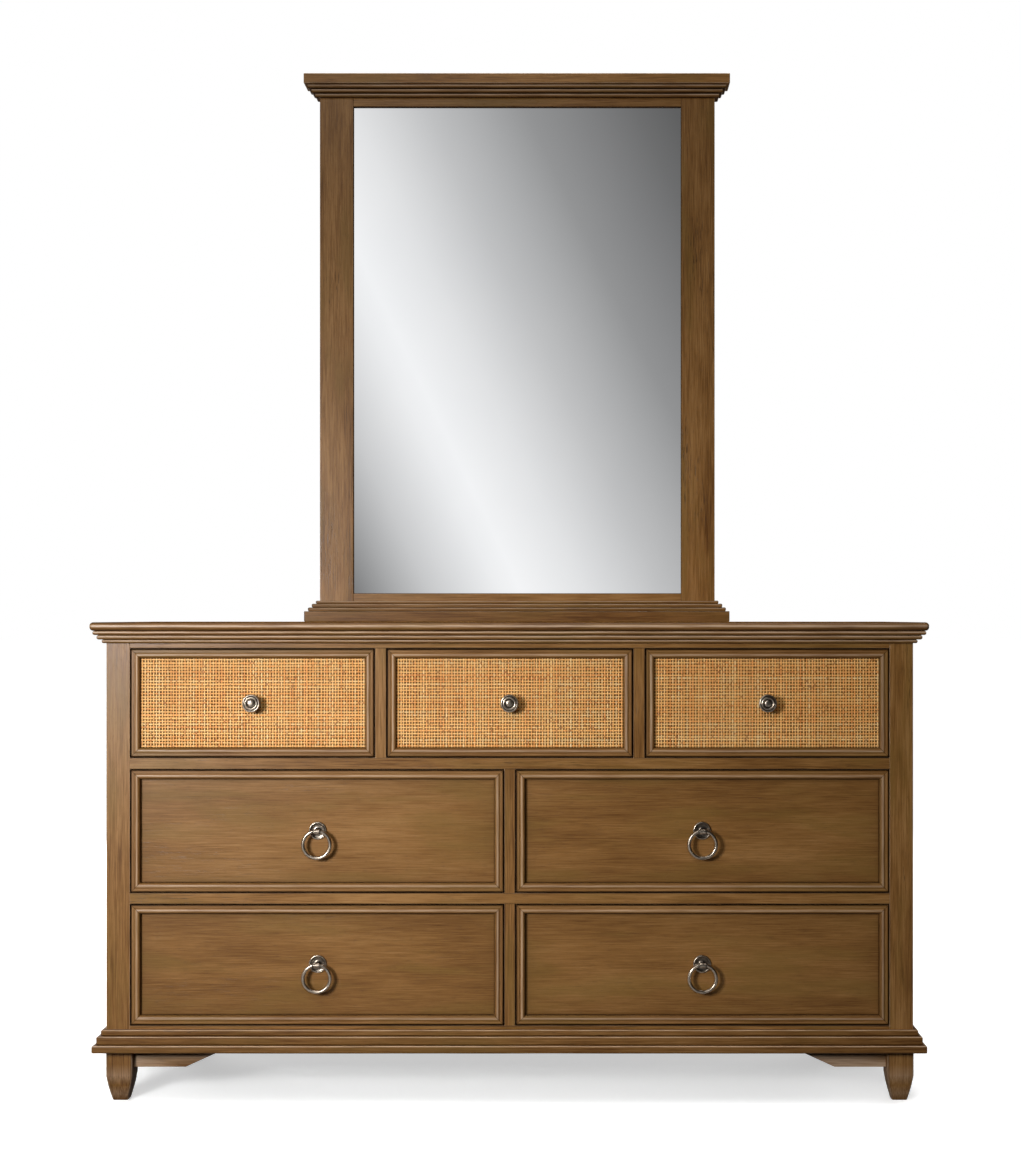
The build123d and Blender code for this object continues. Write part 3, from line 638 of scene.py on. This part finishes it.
def wrapped(shell, steps, half, front, back):
    """A moulding along the front with a return along each side, mitred at the corners."""
    profile = stepped(steps)
    up = (0, 0, 1)
    run(shell, profile, (-half, back, 0), (-half, front, 0), (-1, 0, 0), up, (0, 1), 0.22 * MM)
    run(shell, profile, (-half, front, 0), (half, front, 0), (0, -1, 0), up, (1, 1), 0.28 * MM)
    run(shell, profile, (half, front, 0), (half, back, 0), (1, 0, 0), up, (1, 0), 0.22 * MM)


def build_mouldings():
    case_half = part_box("side_panel_right")[1].x
    case_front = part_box("stile_left")[0].y
    for node, steps in (("crown_moulding", CROWN_STEPS), ("base_moulding", BASE_STEPS)):
        shell = Shell()
        wrapped(shell, steps, case_half, case_front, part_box(node)[1].y)
        piece(shell, f"{node}_wood", FINISH, [node])

    mirror_low, mirror_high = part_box("mirror_stile_right")
    shell = Shell()
    wrapped(shell, MIRROR_BASE_STEPS, mirror_high.x, mirror_low.y, mirror_high.y)
    piece(shell, "mirror_base_wood", FINISH, ["mirror_base"])

    low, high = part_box("mirror_crown")
    shell = Shell()
    wrapped(shell, MIRROR_CROWN_STEPS, mirror_high.x, mirror_low.y, mirror_high.y)
    board_low = MIRROR_CROWN_STEPS[-1][1] * MM + GLUE_LINE
    slab(shell, (low.x, low.y, board_low), high, 1.4 * MM, "x", ("y+",))
    piece(shell, "mirror_crown_wood", FINISH, ["mirror_crown"])


def build_feet():
    """Square feet with chamfered corners that taper to a small sole."""
    taper, ankle = 48, 12
    levels = ((0, 10.9), (0.6, 10.3), (ankle, 7.3), (ankle + 0.8, 7.0), (30, 3.0), (taper - 0.8, 0.12),
              (taper + 0.8, 0), (70, 0), (82, 0), (88, 0), (92, 0), (96, 0))
    edges = (ankle, ankle + 0.8, taper - 0.8, taper + 0.8)
    # Painted shade: darker near the floor and under the base moulding, and on each foot's inner faces
    shades = ((0, 0.45), (10, 0.3), (30, 0.12), (82, 0.05), (88, 0.3), (92, 0.65), (96, 0.9))
    for node in ("front_feet", "rear_feet"):
        shell = Shell()
        for points in solids(node):
            low, high = points.min(0), points.max(0)
            middle, half = (low + high) / 2, (high - low) / 2
            rings, wear_highlights, darks = [], [], []
            for height, inset in levels:
                x, y = half[0] - inset * MM, half[1] - inset * MM
                rows = np.array(outline(((-x, -y, 3 * MM), (x, -y, 3 * MM), (x, y, 3 * MM), (-x, y, 3 * MM))))
                ring = np.column_stack((rows[:, :2] + middle[:2], np.full(len(rows), low[2] + height * MM)))
                rings.append(ring)
                wear_highlights.append(np.maximum(rows[:, 2] * 0.8, 0.35 if height in edges else 0))
                shade = np.interp(height, *zip(*shades))
                inner = rows[:, 0] * -np.sign(middle[0]) > x - 4 * MM
                darks.append(np.where(inner, max(shade, 0.5), shade))
            loft(shell, rings, AXES["z"], wear_highlights, darks)
        piece(shell, f"{node}_wood", FINISH, [node])


def build_aprons():
    """Brackets whose sloped outline is read from the CAD solid."""
    shell = Shell()
    for points in solids("apron_brackets"):
        low, high = points.min(0), points.max(0)
        thin = 1 if high[1] - low[1] < high[0] - low[0] else 0
        flat = 1 - thin
        face = points[np.abs(points[:, thin] - low[thin]) < TOUCH][:, [flat, 2]]
        centre = face.mean(0)
        order = np.argsort([atan2(*(corner - centre)[::-1]) for corner in face])
        corners = [(x, z, 0.6 * MM) for x, z in face[order] - centre]
        rows = np.array(outline(corners))
        half = (high - low)[[flat, 2]] / 2
        ease = 1.0 * MM
        bevel = ((0, ease), (0.3 * ease, 0.3 * ease), (ease, 0))
        levels = [(depth, 1 - inset / half) for depth, inset in bevel]
        thick = high[thin] - low[thin]
        levels += [(thick - depth, scale) for depth, scale in reversed(levels)]
        rings, wear_highlights, darks = [], [], []
        for depth, scale in levels:
            ring = np.zeros((len(rows), 3))
            ring[:, [flat, 2]] = rows[:, :2] * scale + centre
            ring[:, thin] = low[thin] + depth
            rings.append(ring)
            eased = 0 < depth < ease or thick - ease < depth < thick
            wear_highlights.append(np.maximum(rows[:, 2], 0.8 if eased else 0))
            # Painted shadow along the top, under the base moulding
            darks.append(np.where(ring[:, 2] > high[2] - 4 * MM, 0.7, 0.0))
        loft(shell, rings, AXES["xy"[flat]], wear_highlights, darks)
    piece(shell, "apron_brackets_wood", FINISH, ["apron_brackets"])


# === Drawers ===
def bead_profile():
    """Section of a drawer front's frame: out runs inwards, up runs backwards."""
    middle, radius, quirk, ledge = 10.9, 5.6, 1.0, 5.2
    drop = radius - BEAD_PROUD / MM
    start = acos((drop - quirk) / radius)
    # Painted shade on the outer edge by the gap, in the quirk, down the bead's inner slope and in the rabbet;
    # the bead's rubbed crest also paints its highlight
    rows = [(0, 0.9, 0, 1), (0.25, 0.25, 0, 1), (0.9, 0, 0, 0.8), (1.7, 0, 0, 0.3), (2.6, 0, 0, 0.1),
            (ledge - 0.5, 0.05, 0.1, 0), (ledge - 0.1, 0.4, 0, 0.1), (ledge, quirk, 0, 0.2)]
    for turn in np.linspace(-start, pi / 2, 15):
        crest = 3.0 * (turn + 0.1)
        wear = 0.6 * max(0.0, cos(crest)) ** 1.5 if abs(crest) < 1.56 else 0.0
        slope = max(0.0, (turn - 0.35) / (pi / 2 - 0.35)) ** 1.5
        glaze = 0.2 if turn == -start else 0.15 + 0.6 * slope if turn > 0.3 else 0.0
        rows.append((middle + radius * sin(turn), drop - radius * cos(turn), wear, glaze))
    rows += [(16.5, 6.6, 0, 0.65), (16.5, 9.0, 0, 1), (11.5, 9.0, 0, 0.4), (11.5, 20, 0, 0), (0, 20, 0, 0),
             (0, 4, 0, 0.4)]
    return [(out * MM, up * MM, wear, glaze) for out, up, wear, glaze in rows]


def build_drawer_front(node):
    low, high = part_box(node)
    front = low.y + BEAD_PROUD
    shell = Shell()
    profile = bead_profile()
    corners = [(low.x, front, low.z), (high.x, front, low.z), (high.x, front, high.z), (low.x, front, high.z)]
    inwards = ((0, 0, 1), (-1, 0, 0), (0, 0, -1), (1, 0, 0))
    for index, inward in enumerate(inwards):
        start, end = corners[index], corners[(index + 1) % 4]
        run(shell, profile, start, end, inward, (0, 1, 0), (-1, -1), 0.15 * MM)

    inset = FRAME_WIDTH - RABBET + GLUE_LINE
    panel_low = (low.x + inset, front + PANEL_DEPTH + GLUE_LINE, low.z + inset)
    panel_high = (high.x - inset, front + FRAME_THICK - 3 * MM, high.z - inset)
    shown_low = np.array((low.x, 0, low.z)) + FRAME_WIDTH
    shown_high = np.array((high.x, 0, high.z)) - FRAME_WIDTH
    fades = np.array((0, 0.6, 1.5, 3, 6, 12, 25, 60)) * MM

    behind_cane = node.startswith("drawer_upper")

    # Painted shade: the panel behind the cane is darkened all over, and a bare panel darkens towards the frame
    # round it
    def glaze(points):
        if behind_cane:
            return 0.4
        room = np.minimum(points - shown_low, shown_high - points)[:, [0, 2]].min(1)
        return np.interp(room, fades, (1.0, 0.8, 0.42, 0.27, 0.2, 0.14, 0.08, 0.0))

    cuts = {}
    for axis, letter in ((0, "x"), (2, "z")):
        cuts[letter] = [*(shown_low[axis] + fades), *(shown_high[axis] - fades)]
    slab(shell, panel_low, panel_high, 0.4 * MM, "x", cuts=cuts, glaze=glaze,
         matt=lambda points: 1.0 if behind_cane else 0.0)
    piece(shell, f"{node}_wood", PANEL_FINISH, [node])


def build_weave(node):
    """Plain weave of split cane: flat strands that pass over and under each other."""
    low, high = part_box(node)
    pitch_wanted = np.array((5.35, 5.75)) * MM
    size = np.array((high.x - low.x, high.z - low.z))
    counts = np.round(size / pitch_wanted).astype(int)
    pitch = size / counts
    middle = (low.y + high.y) / 2
    rise = 0.42 * MM
    section = np.array(((-1, 0.1), (-0.62, -0.85), (0.62, -0.85), (1, 0.1), (0, 0.75)))
    shell = Shell()
    for way in (0, 1):
        other = 1 - way
        flat = way == 0
        share = 0.255 if flat else 0.245
        samples = counts[other] * 3 + 1
        travel = np.linspace(0, size[other], samples)
        for index in range(counts[way]):
            width = pitch[way] * share * rng.uniform(0.84, 1.14)
            if rng.random() < 0.06:
                width *= 1.25
            thick = 0.43 * MM * rng.uniform(0.85, 1.1)
            seat = (index + 0.5) * pitch[way] + rng.normal(0, 0.22) * MM
            seed = rng.uniform(0, 90)
            wander = np.array([noise.noise(Vector((t * 22, seed, way))) for t in travel]) * 0.35 * MM
            phase = pi * (travel / pitch[other] - 0.5 + index + way)
            height = middle + rise * np.cos(phase)
            across = np.clip(seat + wander, width, size[way] - width)
            ring = np.zeros((samples, len(section), 3))
            main, side = (2, 0) if flat else (0, 2)
            start = np.array((low.x, low.y, low.z))
            ring[:, :, main] = start[main] + travel[:, None]
            ring[:, :, side] = start[side] + across[:, None] + section[None, :, 0] * width
            ring[:, :, 1] = height[:, None] + section[None, :, 1] * thick
            # Painted shade where a strand passes under the other way's strands, and on its sides and back
            under = np.clip((np.cos(phase) + 0.2) / 1.2, 0, 1) * 0.5
            dark = np.maximum(under[:, None], np.array((0.55, 0.04, 0.04, 0.55, 1.0)))
            tone = float(np.clip(rng.normal(0.1 if flat else -0.1, 0.42), -1.2, 1.0))
            loft(shell, ring, AXES["z" if flat else "x"], 0.0, dark, tone=tone)
    piece(shell, f"{node}_weave", CANE, [node], crease=0)


def screw(shell, place, head_at):
    """Pan-head machine screw along Y: its shank from place back to head_at, then its head."""
    x, y, z = place
    length = (head_at - y) / MM
    lathe(shell, (x, y, z), (0, 1, 0), ((1.5, 0), (1.95, 0.5), (1.95, length)), 20)
    head = smooth_path(((4.0, 0), (4.0, 0.9), (3.5, 1.9), (2.4, 2.4), (1.0, 2.4)), 3)
    lathe(shell, (x, head_at, z), (0, 1, 0), [*head, (0.9, 1.3), (0.2, 1.3)], 28)


def build_knob(node):
    low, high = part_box(node)
    x, z = (low.x + high.x) / 2, (low.z + high.z) / 2
    seat = low.y + 25 * MM
    rows = [(2.2, 0.0), (14.7, 0.0), (15.0, 0.3)]
    rows += smooth_path(((15.0, 1.5), (14.7, 2.5), (13.8, 3.0), (12.6, 3.1), (11.0, 3.3)), 4)
    rows += smooth_path(((10.6, 3.6), (8.2, 5.4), (6.9, 8.4), (7.0, 12.0), (8.6, 14.8), (12.2, 16.4)), 5)
    rim = ((15.2, 17.4), (16.7, 18.6), (17.0, 19.6), (16.5, 20.9), (15.1, 21.7), (13.9, 21.6))
    ring = ((13.4, 21.0), (13.0, 21.9), (12.0, 23.0), (10.6, 23.4), (9.1, 22.8), (8.3, 21.9))
    button = ((7.7, 20.9), (7.1, 20.9), (6.8, 22.3), (6.1, 23.9), (4.5, 24.7), (2.3, 25.0), (0.2, 25.0))
    for part in (rim, ring, button):
        rows += smooth_path(part, 4)
    shell = Shell()
    # Darker in the turned grooves
    groove_darkening = ((0, 0), (6.6, 0), (7.1, 0.8), (8.0, 0.8), (9.0, 0.1), (12.3, 0.1), (13.1, 0.8), (13.7, 0.8),
               (15, 0.1))
    lathe(shell, (x, seat, z), (0, -1, 0), rows, 72, tone=0, glaze=groove_darkening)
    screw(shell, (x, seat - 1 * MM, z), high.y - 2.4 * MM)
    piece(shell, f"{node}_nickel", NICKEL, [node], crease=50)


def build_pull_plate(node):
    low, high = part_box(node)
    x, z = (low.x + high.x) / 2, (low.z + high.z) / 2
    pin_y = low.y + 4.5 * MM
    seat = pin_y + 16 * MM
    shell = Shell()
    rows = [(3.4, 0.0), (16.8, 0.0), (17.0, 0.2)]
    rows += smooth_path(((17.0, 1.3), (16.7, 2.3), (15.9, 3.0), (14.9, 3.2), (14.1, 2.8)), 4)
    rows += smooth_path(((13.6, 2.3), (11.0, 1.7), (8.0, 1.6), (5.6, 2.2), (4.3, 3.6)), 5)
    # Painted dark reflection over the dish, and painted shade in the groove inside the rim
    lathe(shell, (x, seat, z), (0, -1, 0), [*rows, (3.4, 4.4), (3.4, 2.0)], 72, closed=True, tone=0,
          glaze=((0, 0.6), (11, 0.5), (13.8, 0.7), (15, 0.05), (17, 0.1)))
    post = smooth_path(((3.5, 1.2), (3.4, 4.0), (3.0, 7.0), (3.1, 10.0), (3.6, 12.4)), 4)
    lathe(shell, (x, seat, z), (0, -1, 0), [*post, (3.6, 14.0)], 32, tone=0)
    barrel = ((2.15, -5.5), (3.9, -5.5), (4.35, -5.3), (4.5, -4.9))
    barrel += tuple((radius, -along) for radius, along in reversed(barrel))
    turns = np.linspace(0, 2 * pi, 40, endpoint=False)
    wheel = np.column_stack((np.zeros(40), np.cos(turns), np.sin(turns)))
    rings = [np.array((x + along * MM, pin_y, z)) + wheel * radius * MM for radius, along in barrel]
    # Painted shade at the barrel's ends, where the ring's wire goes in
    dark = [[0.9 if abs(along) > 5.2 else 0.0] for _, along in barrel]
    loft(shell, rings, AXES["x"], 0.0, dark, closed=True, tone=0)
    screw(shell, (x, seat - 1 * MM, z), high.y - 2.4 * MM)
    piece(shell, f"{node}_nickel", NICKEL, [node], crease=50)


def build_pull_ring(node):
    """Round-wire ring, open at the top, with the pin that closes it through the barrel."""
    low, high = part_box(node)
    wire, pin_half = 3.4 * MM, 7.2 * MM
    x, y = (low.x + high.x) / 2, (low.y + high.y) / 2
    radius = (high.x - low.x) / 2 - wire
    centre_z = low.z + wire + radius
    opening = asin(pin_half / radius)
    pin_z = centre_z + radius * cos(opening)
    shell = Shell()
    turns = np.linspace(opening, 2 * pi - opening, 110)
    around = np.linspace(0, 2 * pi, 20, endpoint=False)
    rings = []
    for turn in turns:
        outward = np.array((sin(turn), 0, cos(turn)))
        centre = np.array((x, y, centre_z)) + outward * radius
        rings.append(centre + wire * (np.cos(around)[:, None] * outward
                                      + np.sin(around)[:, None] * np.array(AXES["y"])))
    first = np.array((cos(opening), 0, -sin(opening)))
    for end in (0, -1):
        face = np.array((first[0] if end else -first[0], 0, -first[2]))
        hub = rings[end].mean(0)
        lip = hub + face * 0.5 * MM + (rings[end] - hub) * 0.72
        rings = [lip, *rings] if end == 0 else [*rings, lip]
    # Painted shade at the wire's ends, where they go into the barrel
    dark = np.zeros((len(rings), 1))
    dark[[0, 1, -2, -1]] = 0.85
    dark[[2, -3]] = 0.3
    loft(shell, rings, AXES["x"], 0.0, dark, tone=0)
    reach = pin_half / MM + 0.6
    pin = ((1.7, -reach), (2.05, 0.35 - reach), (2.05, reach - 0.35), (1.7, reach))
    lathe(shell, (x, y, pin_z), (1, 0, 0), pin, 24, tone=0)
    piece(shell, f"{node}_nickel", NICKEL, [node], crease=50)


# === Mirror ===
def build_mirror_frame():
    glass_low, glass_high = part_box("mirror_glass")
    top_low, top_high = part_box("mirror_top_rail")
    bottom_low, bottom_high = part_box("mirror_bottom_rail")
    half = top_high.x
    lip = glass_low.y
    radius = 1.1 * MM
    rabbet = glass_high.x + 0.5 * MM
    notch_low, notch_high = glass_low.z - 0.5 * MM, glass_high.z + 0.5 * MM
    for side, name in ((-1, "left"), (1, "right")):
        low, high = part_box(f"mirror_stile_{name}")
        outer = high.x if side > 0 else -low.x
        rings, wear_highlights, darks = [], [], []
        heights = [(low.z, False), (notch_low, False), (notch_low, True), (notch_high, True),
                   (notch_high, False), (high.z, False)]
        for height, notched in heights:
            inner_edge = rabbet if notched else half + 0.6 * MM
            corners = ((half, low.y, radius), (outer, low.y, radius), (outer, high.y, radius),
                       (inner_edge, high.y, 0.3 * MM), (inner_edge, lip, 0.2 * MM), (half, lip, 0.2 * MM))
            rows = np.array(outline(corners, fade=4 * MM))
            ring = np.column_stack((side * rows[:, 0], rows[:, 1], np.full(len(rows), height)))
            rings.append(ring)
            # Painted shade along the rabbet next to the glass
            near_glass = rows[:, 0] < half + 0.9 * MM
            wear_highlights.append(np.where(near_glass, 0, rows[:, 2]))
            darks.append(np.where(near_glass, 1.0, 0.0))
        shell = Shell()
        loft(shell, rings, AXES["z"], wear_highlights, darks)
        piece(shell, f"mirror_stile_{name}_wood", FINISH, [f"mirror_stile_{name}"])

    for name, low, high, up, edge in (
        ("top_rail", top_low, top_high, 1, notch_high), ("bottom_rail", bottom_low, bottom_high, -1, notch_low),
    ):
        inner = low.z if up > 0 else high.z
        outer = high.z if up > 0 else low.z
        reach, back_reach = abs(outer - inner), abs(outer - edge)
        depth, lip_depth = high.y - low.y, lip - low.y
        corners = ((0, 0, 0.2 * MM), (reach, 0, radius), (reach, lip_depth, 0.2 * MM),
                   (back_reach, lip_depth, 0.2 * MM), (back_reach, depth, 0.2 * MM), (0, depth, 0.2 * MM))
        rows = []
        for out, back, wear, _ in outline(corners, fade=4 * MM):
            # Painted shade along the rabbet next to the glass
            near_glass = out > reach - 0.9 * MM
            rows.append((out, back, 0.0 if near_glass else wear, 1.0 if near_glass else 0.0))
        shell = Shell()
        run(shell, rows, (low.x, low.y, outer), (high.x, low.y, outer), (0, 0, -up), (0, 1, 0))
        piece(shell, f"mirror_{name}_wood", FINISH, [f"mirror_{name}"])


def build_mirror_glass():
    low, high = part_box("mirror_glass")
    shell = Shell()
    slab(shell, low, high, 0.8 * MM, "z")
    piece(shell, "mirror_glass_silvered", MIRROR, ["mirror_glass"])


def build_support_screws():
    """Countersunk wood screws with a cross recess, seen on the posts behind the mirror."""
    shell = Shell()
    for points in solids("support_screws"):
        low, high = points.min(0), points.max(0)
        x, z = (low[0] + high[0]) / 2, (low[2] + high[2]) / 2
        rear = high[1]
        tip = (rear - low[1]) / MM
        rows = ((0.2, tip), (2.2, tip - 4), (2.2, 2.4), (4.2, 0.15), (4.3, 0))
        lathe(shell, (x, rear, z), (0, -1, 0), rows[:-1], 24)
        cross_head(shell, x, rear, z, 4.2 * MM, rng.uniform(0, pi / 2))
    piece(shell, "support_screws_steel", STEEL, ["support_screws"], crease=40)


def cross_head(shell, x, y, z, radius, turn):
    """Low dome with four bevelled arms pressed into it."""
    arm, slot = 2.6 * MM, 0.55 * MM
    count = 48
    angles = np.linspace(0, 2 * pi, count, endpoint=False)

    def cross(angle):
        a = (angle + pi / 4) % (pi / 2) - pi / 4
        return min(arm / max(cos(a), 1e-6), slot / max(abs(sin(a)), slot / arm))

    rings, darks = [], []
    for share, height, dark in ((1.0, -0.15, 0), (1.0, 0.12, 0), (0.86, 0.34, 0), (0.7, 0.42, 0)):
        rings.append([(radius * share * cos(a), height * MM, radius * share * sin(a)) for a in angles])
        darks.append([dark] * count)
    # Painted shade in the cross recess
    for scale, height, dark in ((1.0, 0.42, 0.2), (0.85, -0.9, 1), (0.2, -1.1, 1)):
        rings.append([(scale * cross(a) * cos(a), height * MM, scale * cross(a) * sin(a)) for a in angles])
        darks.append([dark] * count)
    rings = np.array(rings)
    c, s = cos(turn), sin(turn)
    spun = rings.copy()
    spun[:, :, 0] = rings[:, :, 0] * c - rings[:, :, 2] * s
    spun[:, :, 2] = rings[:, :, 0] * s + rings[:, :, 2] * c
    loft(shell, spun + np.array((x, y, z)), AXES["y"], 0.0, darks)


# === The whole dresser ===
for node in ("side_panel_left", "side_panel_right", "stile_left", "stile_right", "top_rail", "upper_rail",
             "lower_rail", "bottom_rail", "face_dividers"):
    boards(node, FINISH, 0.9 * MM, reveal=0 if node.startswith("side") else 1.2 * MM)
for node in ("partitions", "side_bearers", "centre_runners", "rear_rails", "back_panel", "bottom_panel",
             "mirror_backboard"):
    boards(node, BARE, 0.8 * MM)
boards("mirror_supports", BARE, 1.8 * MM, square_ends=False)
build_top_board()
build_mouldings()
build_feet()
build_aprons()
FITTINGS = {"cane_": build_weave, "knob_": build_knob, "pull_plate_": build_pull_plate,
            "pull_ring_": build_pull_ring}
for node in sorted(frame["nodes"]):
    if node.startswith("drawer_") and node.endswith("_front"):
        build_drawer_front(node)
    elif node.startswith("drawer_"):
        boards(node, BOX_WOOD, 1.2 * MM)
    for start, build in FITTINGS.items():
        if node.startswith(start):
            build(node)
build_mirror_frame()
build_mirror_glass()
build_support_screws()


# === Camera, lights and floor ===
# Fitted to the photo: the lens, its shift, and where the camera stands from the case's front and top
LENS, SENSOR, SHIFT = 51.24, 36, (-0.05506, 0.02961)
STANDS_RIGHT, STANDS_OFF, STANDS_OVER = 0.12245, 3.13, 0.0099
FLOOR_REACH = 60
FLOOR_GAP = 0.002


def build_camera():
    """Front view from standing distance, a little right of the middle, at the top's height."""
    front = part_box("stile_left")[0].y
    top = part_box("top_board")[1].z
    data = bpy.data.cameras.new("camera")
    data.lens = LENS
    data.sensor_width = SENSOR
    data.shift_x, data.shift_y = SHIFT
    camera = add_object("camera", data)
    camera.location = (STANDS_RIGHT, front - STANDS_OFF, top + STANDS_OVER)
    camera.rotation_euler = (pi / 2, 0, 0)
    bpy.context.scene.camera = camera


def only_for(obj, receivers, state="INCLUDE"):
    """Lets a light or a glowing card reach nothing but the receivers, or everything else."""
    group = bpy.data.collections.new(f"lit_by_{obj.name}")
    for receiver in receivers:
        group.objects.link(receiver)
    for entry in group.collection_objects:
        entry.light_linking.link_state = state
    obj.light_linking.receiver_collection = group


def area_light(name, place, target, width, height, power, spread=180.0, colour=(1, 1, 1)):
    data = bpy.data.lights.new(name, "AREA")
    data.shape = "RECTANGLE"
    data.size = width
    data.size_y = height
    data.energy = power
    data.color = colour
    data.spread = radians(spread)
    light = add_object(name, data)
    light.location = place
    light.visible_camera = False
    light.rotation_euler = (Vector(target) - Vector(place)).to_track_quat("-Z", "Y").to_euler()
    return light


def build_lights(floor, glass):
    key = area_light("key", (-1.6, -2.6, 1.18), (-0.2, 0, 0.45), 0.6, 0.6, 12.8, 75)
    fill = area_light("fill", (-0.4, -4.2, 2.4), (0, 0, 0.9), 2.6, 1.6, 46)
    fill.visible_glossy = False
    brow = area_light("brow", (-0.7, -2.9, 3.3), (0, 0, 0.9), 1.6, 0.5, 10)
    for light in (key, brow):
        only_for(light, [glass], "EXCLUDE")
    sheen = area_light("sheen", (-1.3, -3.0, 2.1), (0, 0, 0.6), 1.1, 1.1, 5, 180, (1, 0.93, 0.85))
    only_for(sheen, [obj for obj in bpy.data.objects if obj.name.endswith("_nickel")])
    overhead = area_light("overhead", (0, -0.15, 3.7), (0, -0.15, 0.9), 2.6, 0.7, 20, 100)
    upright = ("mirror_stile", "mirror_top_rail", "mirror_bottom_rail", "mirror_base")
    only_for(overhead, [obj for obj in bpy.data.objects if obj.name.startswith(upright)], "EXCLUDE")
    area_light("back_left", (-2.6, 2.8, 0.7), (0, 0, 0.9), 1.6, 1.2, 60)
    area_light("back_right", (2.8, 2.4, 0.7), (0, 0, 0.9), 1.6, 1.2, 40)
    data = bpy.data.lights.new("soft_top", "SUN")
    data.energy = 2.1
    data.angle = radians(70)
    only_for(add_object("soft_top", data), [floor])


def plane_mesh(name, corners):
    mesh = bpy.data.meshes.new(name)
    mesh.from_pydata(corners, [], [(0, 1, 2, 3)])
    obj = add_object(name, mesh)
    return obj


def build_floor(glass):
    """Pale floor, with a dimmer one just below it that reflections see, and that glows in the mirror."""
    floors = []
    for name, level, grey in (("floor", 0, 0.92), ("floor_reflected", -FLOOR_GAP, 0.38)):
        corners = [(x * FLOOR_REACH, y * FLOOR_REACH, level) for x, y in ((-1, -1), (1, -1), (1, 1), (-1, 1))]
        floor = plane_mesh(name, corners)
        tree = Tree(name)
        place = tree.add("ShaderNodeTexCoord").outputs["Object"]
        clouds = tree.noise(place, (2, 2, 2), 3)
        colour = tree.mix(clouds, [0.98 * grey] * 3, [grey] * 3)
        floor.data.materials.append(tree.surface({
            "Base Color": colour, "Roughness": 0.8, "Emission Color": (1, 1, 1, 1), "Emission Strength": 0.45,
        }))
        floor.visible_diffuse = False
        floor.visible_glossy = level < 0
        floor.visible_camera = level == 0
        floor.visible_shadow = level < 0
        floors.append(floor)
    only_for(floors[1], [glass])
    return floors


def build_reflector(glass):
    """Graded card behind the camera, seen only in the mirror."""
    y = -4.5
    card = plane_mesh("reflector", [(-1.6, y, 0.45), (1.6, y, 0.45), (1.6, y, 4.2), (-1.6, y, 4.2)])
    tree = Tree("graded_card")
    place = tree.add("ShaderNodeTexCoord").outputs["Object"]
    split = tree.add("ShaderNodeSeparateXYZ", {0: place}).outputs
    slope = tree.math("MULTIPLY_ADD", split["Z"], 0.485, split["X"])
    level = tree.math("MULTIPLY_ADD", slope, 0.348, 0.2025)
    tints = [(place, [((grey / 255 + 0.055) / 1.055) ** 2.4 * tint for tint in (1, 1.002, 1.012)])
             for place, grey in CARD_GREYS]
    colour = tree.ramp(level, tints)
    glow = tree.add("ShaderNodeEmission", {"Color": colour, "Strength": 1.0})
    tree.links.new(glow.outputs[0], tree.nodes["Material Output"].inputs["Surface"])
    card.data.materials.append(tree.material)
    for rays in ("camera", "diffuse", "shadow", "transmission"):
        setattr(card, f"visible_{rays}", False)
    only_for(card, [glass])


def build_world():
    """White to the camera, and nothing to every other ray."""
    world = bpy.context.scene.world = bpy.data.worlds.new("white")
    world.use_nodes = True
    background = world.node_tree.nodes["Background"].inputs
    background["Color"].default_value = (1, 1, 1, 1)
    background["Strength"].default_value = 1.0
    for rays in ("diffuse", "glossy", "transmission", "scatter"):
        setattr(world.cycles_visibility, rays, False)


silvered = bpy.data.objects["mirror_glass_silvered"]
build_camera()
floors = build_floor(silvered)
build_lights(floors[0], silvered)
build_reflector(silvered)
build_world()
bpy.context.scene.view_settings.view_transform = "Standard"
